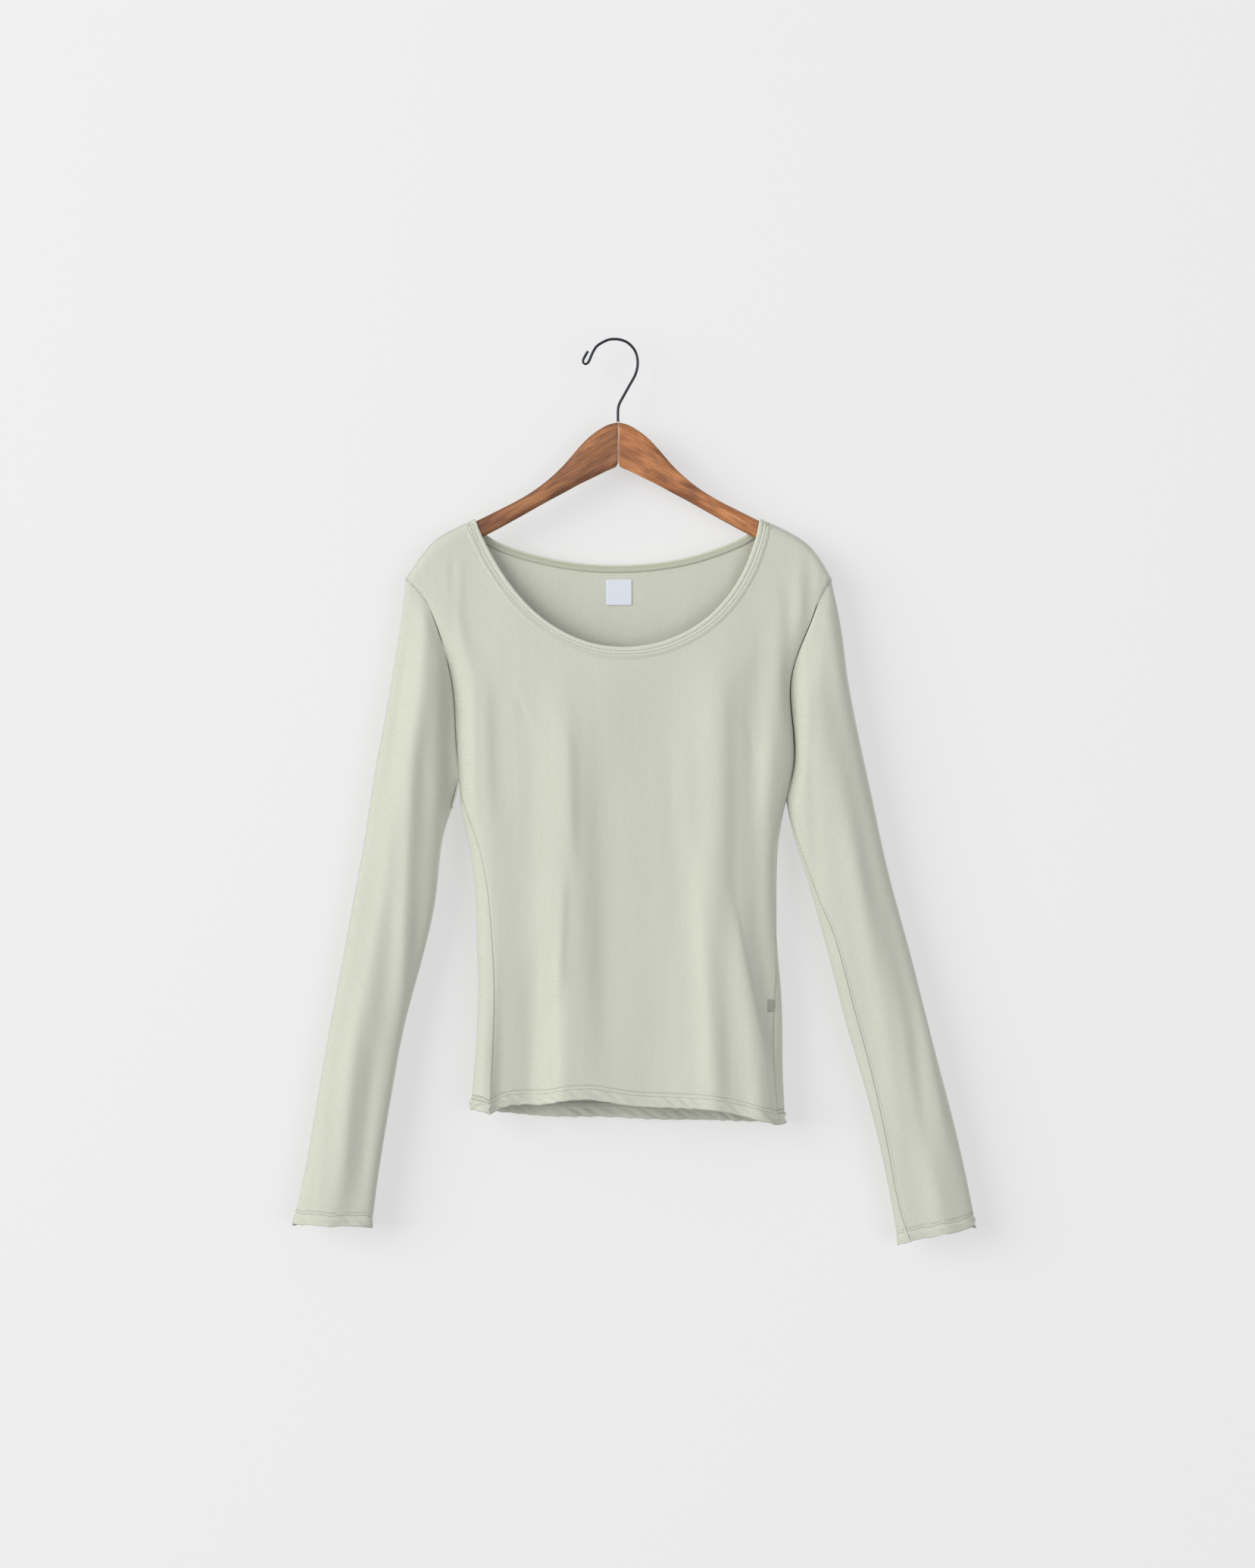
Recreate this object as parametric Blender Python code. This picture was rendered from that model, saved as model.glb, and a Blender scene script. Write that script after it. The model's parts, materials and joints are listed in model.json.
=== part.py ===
"""Long-sleeved jersey top with a scoop neck, hung on a wooden hanger with a wire hook.

The front faces -Y and +Z is up. The origin is the top of the inside of the hook's bend, where a peg
carries it. Sizes in the tables are millimetres; the meshes are metres.
"""

import math

import bmesh
import bpy
import numpy as np

MM = 0.001
WALL = 1.2  # thickness of the cloth
HEM_WALL = 2.0  # where the cloth is turned up
HEM_DEPTH = 12.0
SEAM_GAP = 0.3
CURVED_GAP = 0.45  # at the armholes, whose flat facets would meet at a closer gap
NECK_GAP = 0.55  # the same at the neck, which bends more
HANGER_DEPTH = 12.0
WOOD_CLEARANCE = 1.8  # from the top of the wood to the outside of the cloth over it
SHOULDER_ROUND = 9.0  # radius of the cloth's bend over the hanger
EDGE_POWER = 8.0  # how square the body's sides are in plan
COLUMN_POWER = 1.7  # gathers the columns towards the body's sides
SIDE_PULL = 6.0  # how near the armholes' curves stay to the sides of the panels
BAND_FRONT = 9.7  # width of the neck band
BAND_BACK = 7.2
WIRE_DIAMETER = 3.0

# Rows down the side of a panel: the armhole's as drops from its tip, then the side seam's as shares
ARMHOLE_DROPS = (0.0, 1.5, 5.0, 12.0, 26.0, 48.0, 76.0, 106.0, 138.0, 168.0, 188.0, 199.0)
ARMHOLE_DROP = 206.0
SIDE_SHARES = (0.07, 0.14, 0.22, 0.3, 0.38, 0.46, 0.54, 0.62, 0.7, 0.78, 0.86, 0.93)
ARM_ROWS = len(ARMHOLE_DROPS)
# Columns along the top: shares of the shoulder, then distances down the neckline from the shoulder
SHOULDER_SHARES = (0.0, 0.22, 0.44, 0.66, 0.84)
NECK_STATIONS = (0.0, 1.5, 5.0, 12.0, 28.0, 52.0, 80.0, 112.0, 146.0, 184.0)

# height, left edge, right edge: the sides of the body seen from the front
BODY_OUTLINE = (
    (-150, -262, 262),
    (-241, -246, 250),
    (-270, -222, 228),
    (-300, -190, 196),
    (-328, -169, 173),
    (-363, -164.5, 172),
    (-392, -163, 177),
    (-411, -162, 180.5),
    (-421, -161, 178),
    (-445, -160, 173),
    (-464, -160, 168.5),
    (-482, -157, 164),
    (-508, -150, 160),
    (-540, -145, 159),
    (-600, -143, 160),
    (-644, -141, 164.5),
    (-690, -142.5, 166),
    (-730, -145, 166),
    (-771, -149, 168),
    (-800, -152, 170),
)

# height, depth of the front, depth of the back
BODY_DEPTH = (
    (-150, 16, 12),
    (-300, 18, 13),
    (-400, 23, 16),
    (-500, 22, 17),
    (-600, 21, 17),
    (-700, 23, 19),
    (-800, 26, 20),
)

# across, height: the top edge of the shoulders, carried on over the hanger between them
SHOULDER_LINE = (
    (-214, -241),
    (-203, -225),
    (-196, -214),
    (-190, -205.5),
    (-180, -197),
    (-164, -189),
    (-145, -179.5),
    (-60, -139),
    (0, -112),
    (60, -139),
    (145, -179.5),
    (163, -188),
    (180, -197),
    (191, -204),
    (198, -211),
    (207, -226),
    (215, -241),
)
TIP_LEFT, TIP_RIGHT = -213.0, 214.0
NECK_POINT_LEFT, NECK_POINT_RIGHT = -152.0, 151.0

# across, height: the seam between the front and its neck band
NECK_FRONT = (
    (-152, -183),
    (-149, -192),
    (-144, -204),
    (-133, -225),
    (-118, -249),
    (-102, -269),
    (-86, -285),
    (-66, -299),
    (-43, -311),
    (-19, -317.5),
    (4, -319.5),
    (28, -318.5),
    (52, -312),
    (76, -301),
    (100, -284),
    (118, -264),
    (133, -241),
    (142, -219),
    (148, -200),
    (150, -191),
    (151, -182.5),
)

# across, height: the seam between the back and its neck band
NECK_BACK = (
    (-152, -183),
    (-146, -192),
    (-137, -201),
    (-118, -211.5),
    (-97, -218.5),
    (-69, -225.5),
    (-41, -230.5),
    (-13, -232),
    (15, -232),
    (43, -229.5),
    (71, -224.5),
    (99, -216),
    (118, -208.5),
    (136, -199.5),
    (145, -191),
    (151, -182.5),
)

# drop from the tip, across on the front, across on the back: the armhole seams
ARMHOLE_LEFT = (
    (0, -213, -213),
    (11, -200, -205),
    (20, -192, -198),
    (31, -185, -190),
    (55, -177, -178),
    (87, -168.5, -168),
    (122, -164.4, -162),
    (151, -163, -159),
    (180, -161.9, -157.5),
    (204, -160, -160),
)
ARMHOLE_RIGHT = (
    (0, 214, 214),
    (12, 207, 208),
    (22, 200, 200),
    (34, 195, 193),
    (47, 190, 186),
    (63, 184, 181),
    (80, 175, 174),
    (120, 171.9, 168),
    (150, 176.9, 167),
    (178, 178.5, 166),
    (200, 173.5, 165.5),
    (221, 168.5, 168.5),
)
TIP_HEIGHT = -241.0
ARMPIT_LEFT, ARMPIT_RIGHT = -445.0, -462.0

# height, how far the side seam lies in from the body's edge, on its front
SEAM_LEFT = (
    (-445, 0),
    (-472, 5),
    (-490, 9.5),
    (-508, 11.5),
    (-540, 13.5),
    (-584, 17),
    (-640, 18),
    (-700, 19),
    (-776, 21),
)
SEAM_RIGHT = (
    (-462, 0),
    (-560, 0.4),
    (-620, 2.5),
    (-645, 6.5),
    (-670, 9.5),
    (-720, 10),
    (-786, 8),
)

# across, height: the lower edges of the body
HEM_FRONT = (
    (-128, -775),
    (-112, -767),
    (-72, -765.5),
    (-62, -762),
    (-46, -759.5),
    (-24, -759.5),
    (0, -764),
    (26, -767),
    (55, -768),
    (93, -769.5),
    (111, -772.5),
    (131, -777.5),
    (150, -783),
    (162, -786),
)
HEM_BACK = (
    (-149, -771),
    (-110, -777),
    (-74, -780),
    (-24, -781),
    (3, -781.5),
    (57, -784),
    (113, -784.5),
    (150, -785.5),
    (168, -785),
)

# name, top, bottom, across at the top, across at the bottom, half width, lift at the top, at the bottom
FRONT_FOLDS = (
    ("left side ridge", -330, -820, -138, -132, 13, 2.5, 2.5),
    ("left valley", -350, -820, -96, -88, 19, -4, -4),
    ("left centre ridge", -330, -820, -46, -46, 24, 4, 5),
    ("centre valley", -350, -820, 40, 40, 32, -4.5, -4.5),
    ("right centre ridge", -330, -820, 104, 98, 20, 5, 5),
    ("right chest valley", -340, -640, 136, 140, 10, -5, -3),
    ("right chest ridge", -320, -520, 162, 150, 9, 3, 3),
    ("right lower ridge", -560, -820, 120, 146, 11, 3, 7),
    ("chest dimple", -360, -400, -96, -96, 10, -1.5, -1.5),
    ("left shoulder fold", -235, -330, -186, -150, 9, 1.6, 1.4),
    ("left shoulder valley", -235, -320, -170, -136, 8, -1.4, -1.2),
    ("right shoulder fold", -235, -330, 184, 176, 8, 1.8, 1.4),
    ("right shoulder valley", -235, -320, 168, 158, 8, -1.4, -1.2),
)
BACK_FOLDS = (
    ("left ridge", -330, -820, -110, -104, 20, 3, 4),
    ("left valley", -350, -820, -66, -60, 20, -3.5, -4),
    ("centre ridge", -320, -820, -12, -18, 26, 3, 4.5),
    ("centre valley", -350, -820, 34, 28, 20, -3, -4),
    ("right ridge", -330, -820, 78, 76, 22, 3.5, 4),
    ("right valley", -350, -820, 124, 120, 16, -3.5, -4),
    ("left shoulder fold", -235, -340, -178, -140, 9, 1.6, 1.4),
    ("right shoulder fold", -235, -340, 178, 142, 9, 1.6, 1.4),
)
# name, top, full depth from, left edge at the top and bottom, right edge at the top and bottom, edge, depth
FRONT_PLEATS = (
    ("hem recess", -590, -740, -121, -127, -58, -65, 5.0, 12.0),
    ("side recess", -560, -700, 130, 163, 172, 190, 5.0, 11.0),
)

# height, outer edge, inner edge, depth of the front, depth of the back
SLEEVE_LEFT = (
    (-241, -211, -160, 12, 10),
    (-289, -218, -160, 17, 14),
    (-334, -226, -160, 20, 16),
    (-380, -234, -160, 21, 18),
    (-448, -247, -160, 21, 19),
    (-500, -254, -175.5, 19, 18),
    (-562, -266, -182, 18, 16),
    (-608, -274, -192, 17, 15),
    (-689, -289.5, -214, 16, 14),
    (-749, -300, -225, 15, 13),
    (-833, -314, -239, 14, 12),
    (-888, -327, -246, 12, 11),
)
SLEEVE_RIGHT = (
    (-241, 213, 160, 12, 10),
    (-289, 224, 162, 16, 13),
    (-334, 229.5, 165, 19, 16),
    (-403, 243, 168, 20, 18),
    (-462, 256, 168.5, 20, 18),
    (-502, 264, 176.5, 19, 17),
    (-548, 275, 191, 18, 16),
    (-631, 298, 214, 17, 15),
    (-692, 312.5, 229.5, 16, 14),
    (-743, 326.5, 245, 15, 13),
    (-813, 344, 263, 14, 12),
    (-885, 358.5, 277, 13, 11),
    (-908, 361, 280, 12, 10),
)
CUFF_LEFT = (-888.0, -891.0)  # height of the cuff's outer and inner ends
CUFF_RIGHT = (-890.0, -908.0)
SLEEVE_FIRST_ROWS = (0.007, 0.025, 0.06, 0.1, 0.145, 0.19, 0.24, 0.295, 0.35)  # shares of its length
SLEEVE_ROWS = (*SLEEVE_FIRST_ROWS, 0.41, 0.47, 0.53, 0.6, 0.67, 0.74, 0.81, 0.88, 0.94)
ARMHOLE_REACH = 0.26  # share of the sleeve over which the armhole's shape fades
DEPTH_REACH = 0.07  # and its depth

# name, start, end, share across at the start, at the end, half width, lift of the front, lift of the back
SLEEVE_FOLDS_LEFT = (
    ("outer ridge", -0.05, 1.1, 0.34, 0.46, 0.13, 4.0, 2.0),
    ("outer valley", 0.05, 0.7, 0.14, 0.2, 0.07, -3.0, -2.0),
    ("inner valley", 0.45, 1.1, 0.72, 0.74, 0.1, -3.0, -2.5),
)
SLEEVE_FOLDS_RIGHT = (
    ("outer ridge", -0.05, 1.1, 0.42, 0.4, 0.13, 3.0, 2.0),
    ("outer valley", 0.05, 0.5, 0.2, 0.2, 0.07, -2.5, -2.0),
    ("inner valley", 0.4, 1.1, 0.74, 0.7, 0.1, -3.0, -2.5),
)

# edge of the recess beside the body, its softness, top, bottom and depth
RECESS_LEFT = (-176.0, 3.0, -305.0, -500.0, 15.0)
RECESS_RIGHT = (182.0, 4.0, -300.0, -430.0, 11.0)

# distance from the middle, lower edge, upper edge: one arm of the hanger, the other is its mirror
HANGER_ARM = (
    (0.15, -127, -81.6),
    (9, -130, -83),
    (18, -134.5, -88),
    (28, -139.5, -95),
    (38, -144, -105),
    (47, -149, -116),
    (56, -154, -126.5),
    (68, -160, -138),
    (82, -168, -149),
    (98, -177, -159),
    (116, -187, -168),
    (136, -197.5, -178),
    (156, -207, -187.6),
    (172, -214.5, -196.5),
    (181, -218, -202.5),
    (185.5, -217.5, -206.5),
    (187, -215, -210.5),
)

# across, height: the hook, from the wood up round the bend to its turned-back tip
HOOK = (
    (0, -81.3),
    (0, -69),
    (1.2, -63.5),
    (5.3, -56),
    (11.4, -45),
    (16.5, -36),
    (19, -29),
    (19.8, -20.5),
    (18, -12),
    (13.5, -5.2),
    (7.4, -0.6),
    (-0.5, 1.5),
    (-9, 1.2),
    (-15.2, -1.5),
    (-21.2, -5.3),
    (-24.8, -10.6),
    (-27.4, -16.3),
    (-29, -20.5),
    (-30.6, -23),
    (-33, -24),
    (-35.2, -22.6),
    (-35.2, -19.4),
    (-32.4, -14.4),
    (-29.2, -8.8),
)

LABEL_CENTRE, LABEL_SIDE = (1.0, -252.0), 26.0
TAG_HEIGHT, TAG_SIZE = -667.0, (6.5, 12.0)
PATCH_WALL = 0.6

COLOURS = {  # linear red, green, blue; roughness
    "jersey": ((0.56, 0.57, 0.47), 0.9),
    "band": ((0.58, 0.59, 0.49), 0.9),
    "label": ((0.75, 0.77, 0.8), 0.8),
    "tag": ((0.33, 0.34, 0.28), 0.8),
    "wood": ((0.3, 0.12, 0.05), 0.45),
    "wire": ((0.02, 0.024, 0.035), 0.35),
}


def smooth(value, start, end):
    """0 before start, 1 after end and an even S between them."""
    share = np.clip((value - start) / (end - start), 0.0, 1.0)
    return share * share * (3.0 - 2.0 * share)


def along(table, column, at):
    """A smooth curve through one column of a table, read at a value of its first column."""
    places = [row[0] for row in table]
    values = [row[column] for row in table]
    if places[0] > places[-1]:
        places, values = places[::-1], values[::-1]
    at = min(max(at, places[0]), places[-1])
    last = len(places) - 2
    i = min(max(int(np.searchsorted(places, at, "right")) - 1, 0), last)

    def slope(k):
        before, after = max(k - 1, 0), min(k + 1, last + 1)
        return (values[after] - values[before]) / (places[after] - places[before])

    step = places[i + 1] - places[i]
    t = (at - places[i]) / step
    return (
        (2 * t**3 - 3 * t**2 + 1) * values[i]
        + (t**3 - 2 * t**2 + t) * step * slope(i)
        + (3 * t**2 - 2 * t**3) * values[i + 1]
        + (t**3 - t**2) * step * slope(i + 1)
    )


def route(points, distances):
    """Points at these distances along a smooth line through the given ones, a negative one from the end."""
    knots = np.array(points, float)
    fine = []
    for i in range(len(knots) - 1):
        before, after = knots[max(i - 1, 0)], knots[min(i + 2, len(knots) - 1)]
        for t in np.linspace(0.0, 1.0, 12, endpoint=False):
            start = (knots[i + 1] - before) / 2.0
            end = (after - knots[i]) / 2.0
            fine.append(
                (2 * t**3 - 3 * t**2 + 1) * knots[i]
                + (t**3 - 2 * t**2 + t) * start
                + (3 * t**2 - 2 * t**3) * knots[i + 1]
                + (t**3 - t**2) * end
            )
    fine = np.array([*fine, knots[-1]])
    lengths = np.concatenate([[0.0], np.cumsum(np.linalg.norm(np.diff(fine, axis=0), axis=1))])
    wanted = [lengths[-1] + d if d < 0 else d for d in distances]
    return np.stack([np.interp(wanted, lengths, fine[:, k]) for k in range(fine.shape[1])], axis=1)


def fold_lift(folds, x, z):
    """How far the named folds lift the cloth at a place on the body."""
    lift = 0.0
    for _, top, bottom, x_top, x_bottom, width, at_top, at_bottom in folds:
        share = min(max((top - z) / (top - bottom), 0.0), 1.0)
        fade = smooth(top + 45.0 - z, 0.0, 90.0) * smooth(z - bottom + 45.0, 0.0, 90.0)
        middle = x_top + (x_bottom - x_top) * share
        size = at_top + (at_bottom - at_top) * share
        lift += fade * size * math.exp(-(((x - middle) / width) ** 2))
    return lift


def pleat_depth(x, z):
    """How far the front's pleats sink the cloth behind the rest."""
    sunk = 0.0
    for _, top, full, left_top, left_low, right_top, right_low, edge, depth in FRONT_PLEATS:
        share = smooth(-z, -top, -full)
        reach = min(max((top - z) / (top + 790.0), 0.0), 1.0)
        left = left_top + (left_low - left_top) * reach
        right = right_top + (right_low - right_top) * reach
        within = smooth(x, left - edge, left + edge) * (1.0 - smooth(x, right - edge, right + edge))
        sunk += share * depth * within
    return sunk


def body_frame(z):
    left, right = along(BODY_OUTLINE, 1, z), along(BODY_OUTLINE, 2, z)
    return (left + right) / 2.0, (right - left) / 2.0


def across_to_turn(x, z):
    """The turn round the body of a place on its front: -1 is the left edge and 1 the right one."""
    middle, half = body_frame(z)
    share = min(max((x - middle) / half, -1.0), 1.0)
    return math.copysign(1.0 - (1.0 - abs(share)) ** (1.0 / COLUMN_POWER), share)


def body_point(turn, z):
    """A point of the body's outside. Its front is -1 to 1, and its back goes on from 1 to 3."""
    turn = (turn + 2.0) % 4.0 - 2.0
    back = abs(turn) > 1.0
    turn = math.copysign(2.0, turn) - turn if back else turn
    share = math.copysign(1.0 - (1.0 - abs(turn)) ** COLUMN_POWER, turn)
    middle, half = body_frame(z)
    x = middle + half * share
    below = max(along(SHOULDER_LINE, 1, x) - z, 0.0)
    edge = math.sqrt(max(1.0 - abs(share) ** EDGE_POWER, 0.0))
    over = math.sqrt(1.0 - (1.0 - min(below, SHOULDER_ROUND) / SHOULDER_ROUND) ** 2)
    at_hanger = HANGER_DEPTH / 2.0 + WOOD_CLEARANCE + 0.2
    depth = along(BODY_DEPTH, 2 if back else 1, z)
    depth = at_hanger + (depth - at_hanger) * smooth(below, 10.0, 190.0)
    if back:
        depth += fold_lift(BACK_FOLDS, x, z)
    else:
        depth += fold_lift(FRONT_FOLDS, x, z) - pleat_depth(x, z)
    depth *= edge * over
    return np.array([x, depth if back else -depth, z])


def outward(turn, z):
    """The way out of the cloth at a place on the body."""
    step = 0.01
    round_it = body_point(turn + step, z) - body_point(turn - step, z)
    down_it = body_point(turn, z - 1.0) - body_point(turn, z + 1.0)
    way = np.cross(down_it, round_it)
    return way / np.linalg.norm(way)


def shoulder_inward(x):
    """The way into the cloth on the shoulder seam: square to its slope."""
    slope = (along(SHOULDER_LINE, 1, x + 2.0) - along(SHOULDER_LINE, 1, x - 2.0)) / 4.0
    return np.array([slope, 0.0, -1.0]) / math.hypot(slope, 1.0)


def side_heights(armpit, hem):
    """Heights of a panel's rows down one side. The armpit and the hem's stitching have their own."""
    scale = (TIP_HEIGHT - armpit) / ARMHOLE_DROP
    arm = [TIP_HEIGHT - drop * scale for drop in ARMHOLE_DROPS]
    stitched = hem + HEM_DEPTH
    side = [armpit + (stitched - armpit) * share for share in SIDE_SHARES]
    return [*arm, armpit, *side, stitched, hem]


def length_of(table):
    return np.linalg.norm(np.diff(np.array(table, float), axis=0), axis=1).sum()


def neck_places(table):
    """The points of a neck seam from one shoulder to the other: the stations, shared out over its length."""
    half = length_of(table) / 2.0
    scale = half / (NECK_STATIONS[-1] + 38.0)
    ease = [station * (1.0 + (scale - 1.0) * min(station / 60.0, 1.0)) for station in NECK_STATIONS]
    return [*route(table, [*ease, half]), *route(table, [-station for station in ease[:0:-1]]), table[-1]]


def top_places(neck_table):
    """The points along a panel's top: the left shoulder, the neckline and the right shoulder."""
    left = [TIP_LEFT + (NECK_POINT_LEFT - TIP_LEFT) * share for share in SHOULDER_SHARES]
    right = [TIP_RIGHT + (NECK_POINT_RIGHT - TIP_RIGHT) * share for share in SHOULDER_SHARES]
    line = [(x, along(SHOULDER_LINE, 1, x)) for x in left]
    line += [tuple(point) for point in neck_places(neck_table)]
    return line + [(x, along(SHOULDER_LINE, 1, x)) for x in right[::-1]]


def panel_grid(back):
    """The turn and height of every vertex of the front or the back: rows down, columns left to right."""
    neck_table = NECK_BACK if back else NECK_FRONT
    hem_table = HEM_BACK if back else HEM_FRONT
    top = top_places(neck_table)
    columns = len(top)
    column = 2 if back else 1
    # Both panels' rows meet on the side seams, so they share the heights of the front's hem
    heights = [side_heights(ARMPIT_LEFT, HEM_FRONT[0][1]), side_heights(ARMPIT_RIGHT, HEM_FRONT[-1][1])]
    rows = len(heights[0])

    def to_turn(x, z):
        turn = across_to_turn(x, z)
        return 2.0 - turn if back else turn

    def side_turn(side, z):
        armhole = ARMHOLE_RIGHT if side else ARMHOLE_LEFT
        if z >= (ARMPIT_RIGHT if side else ARMPIT_LEFT):
            return to_turn(along(armhole, column, TIP_HEIGHT - z), z)
        middle, half = body_frame(z)
        inset = along(SEAM_RIGHT if side else SEAM_LEFT, 1, z)
        turn = across_to_turn(middle + half - inset if side else middle - half + inset, z)
        return turn + 4.0 if back and not side else turn

    top_turns = [to_turn(x, z) for x, z in top]
    bottom_turns = [side_turn(0, heights[0][-1]), side_turn(1, heights[1][-1])]
    grid = np.zeros((rows, columns, 2))
    for i in range(columns):
        u = i / (columns - 1)
        bottom_turn = bottom_turns[0] + (bottom_turns[1] - bottom_turns[0]) * u
        low = min(max(bottom_turn, 1.0), 3.0) if back else bottom_turn
        bottom_x = body_point(low, hem_table[0][1])[0]
        bottom_z = along(hem_table, 1, bottom_x)
        if i in (0, columns - 1):
            bottom_z = heights[0][-1] if i == 0 else heights[1][-1]
        for j in range(rows):
            shares = [(side[0] - side[j]) / (side[0] - side[-1]) for side in heights]
            v = shares[0] + (shares[1] - shares[0]) * u
            z = top[i][1] + (bottom_z - top[i][1]) * v
            turn = top_turns[i] + (bottom_turn - top_turns[i]) * v
            for side, weight in ((0, (1.0 - u) ** SIDE_PULL), (1, u**SIDE_PULL)):
                straight = top_turns[-side] + (bottom_turns[side] - top_turns[-side]) * shares[side]
                turn += weight * (side_turn(side, heights[side][j]) - straight)
            grid[j, i] = (turn, z)
    return grid


def panel_points(back):
    """The outside points of a panel and the way into the cloth at each, with room left at its seams."""
    grid = panel_grid(back)
    rows, columns = grid.shape[:2]
    outside = np.array([[body_point(*place) for place in row] for row in grid])
    inward = np.array([[-outward(*place) for place in row] for row in grid])
    shoulder = len(SHOULDER_SHARES)
    sign = 1.0 if back else -1.0
    for i in (*range(shoulder + 1), *range(columns - shoulder - 1, columns)):
        inward[0, i] = shoulder_inward(outside[0, i, 0])
        outside[0, i, 1] = sign * SEAM_GAP / 2.0
    for edge, beside, side in ((0, 1, -1.0), (-1, -2, 1.0)):
        inward[ARM_ROWS, edge] = np.array([-0.6 * side, 0.0, 0.8])
        for j in range(1, rows):
            way = outside[j, beside] - outside[j, edge]
            outside[j, edge] += way / np.linalg.norm(way) * SEAM_GAP / 2.0
    return outside, inward


def wall_object(name, outside, inward, thickness, closed, finish):
    """A wall of cloth from the grid of its outside, the ways in at its points and its rows' thickness."""
    inside = outside + inward * np.asarray(thickness)[:, None, None]
    rows, columns = outside.shape[:2]
    mesh_data = bmesh.new()
    skins = [
        [[mesh_data.verts.new(point * MM) for point in row] for row in skin] for skin in (outside, inside)
    ]
    across = columns if closed else columns - 1
    for j in range(rows - 1):
        for i in range(across):
            k = (i + 1) % columns
            corners = [(j, i), (j + 1, i), (j + 1, k), (j, k)]
            mesh_data.faces.new([skins[0][row][column] for row, column in corners])
            mesh_data.faces.new([skins[1][row][column] for row, column in corners[::-1]])
    rims = [[(0, i) for i in range(columns)], [(rows - 1, i) for i in range(columns)]]
    if not closed:
        rims += [[(j, 0) for j in range(rows)], [(j, columns - 1) for j in range(rows)]]
    for number, rim in enumerate(rims):
        pairs = list(zip(rim, rim[1:] + rim[:1] if closed else rim[1:]))
        for (j, i), (row, column) in pairs:
            corners = [skins[0][j][i], skins[0][row][column], skins[1][row][column], skins[1][j][i]]
            mesh_data.faces.new(corners if number in (0, 3) else corners[::-1])
    bmesh.ops.recalc_face_normals(mesh_data, faces=mesh_data.faces)
    return mesh_object(name, mesh_data, finish)


def mesh_object(name, mesh_data, finish):
    mesh = bpy.data.meshes.new(name)
    mesh_data.to_mesh(mesh)
    mesh_data.free()
    mesh.shade_smooth()
    mesh.set_sharp_from_angle(angle=math.radians(50.0))
    made = bpy.data.objects.new(name, mesh)
    collection.objects.link(made)
    mesh.materials.append(material(name, finish))
    return made


def material(name, finish):
    colour, roughness = COLOURS[finish]
    made = bpy.data.materials.new(name)
    made.use_nodes = True
    shader = made.node_tree.nodes["Principled BSDF"]
    shader.inputs["Base Color"].default_value = (*colour, 1.0)
    shader.inputs["Roughness"].default_value = roughness
    shader.inputs["Metallic"].default_value = 0.0
    return made


def cloth_thickness(rows):
    """The wall of each row: the cloth is double where it is turned up at the bottom."""
    return [WALL] * (rows - 2) + [HEM_WALL] * 2


def armhole_ring(panels, side):
    """An armhole's vertices as panel, row and column: from the tip down the front and up the back."""
    edge = 0 if side < 0 else -1
    return [(panels[0], j, edge) for j in range(ARM_ROWS + 1)] + [
        (panels[1], j, edge) for j in range(ARM_ROWS - 1, 0, -1)
    ]


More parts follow.
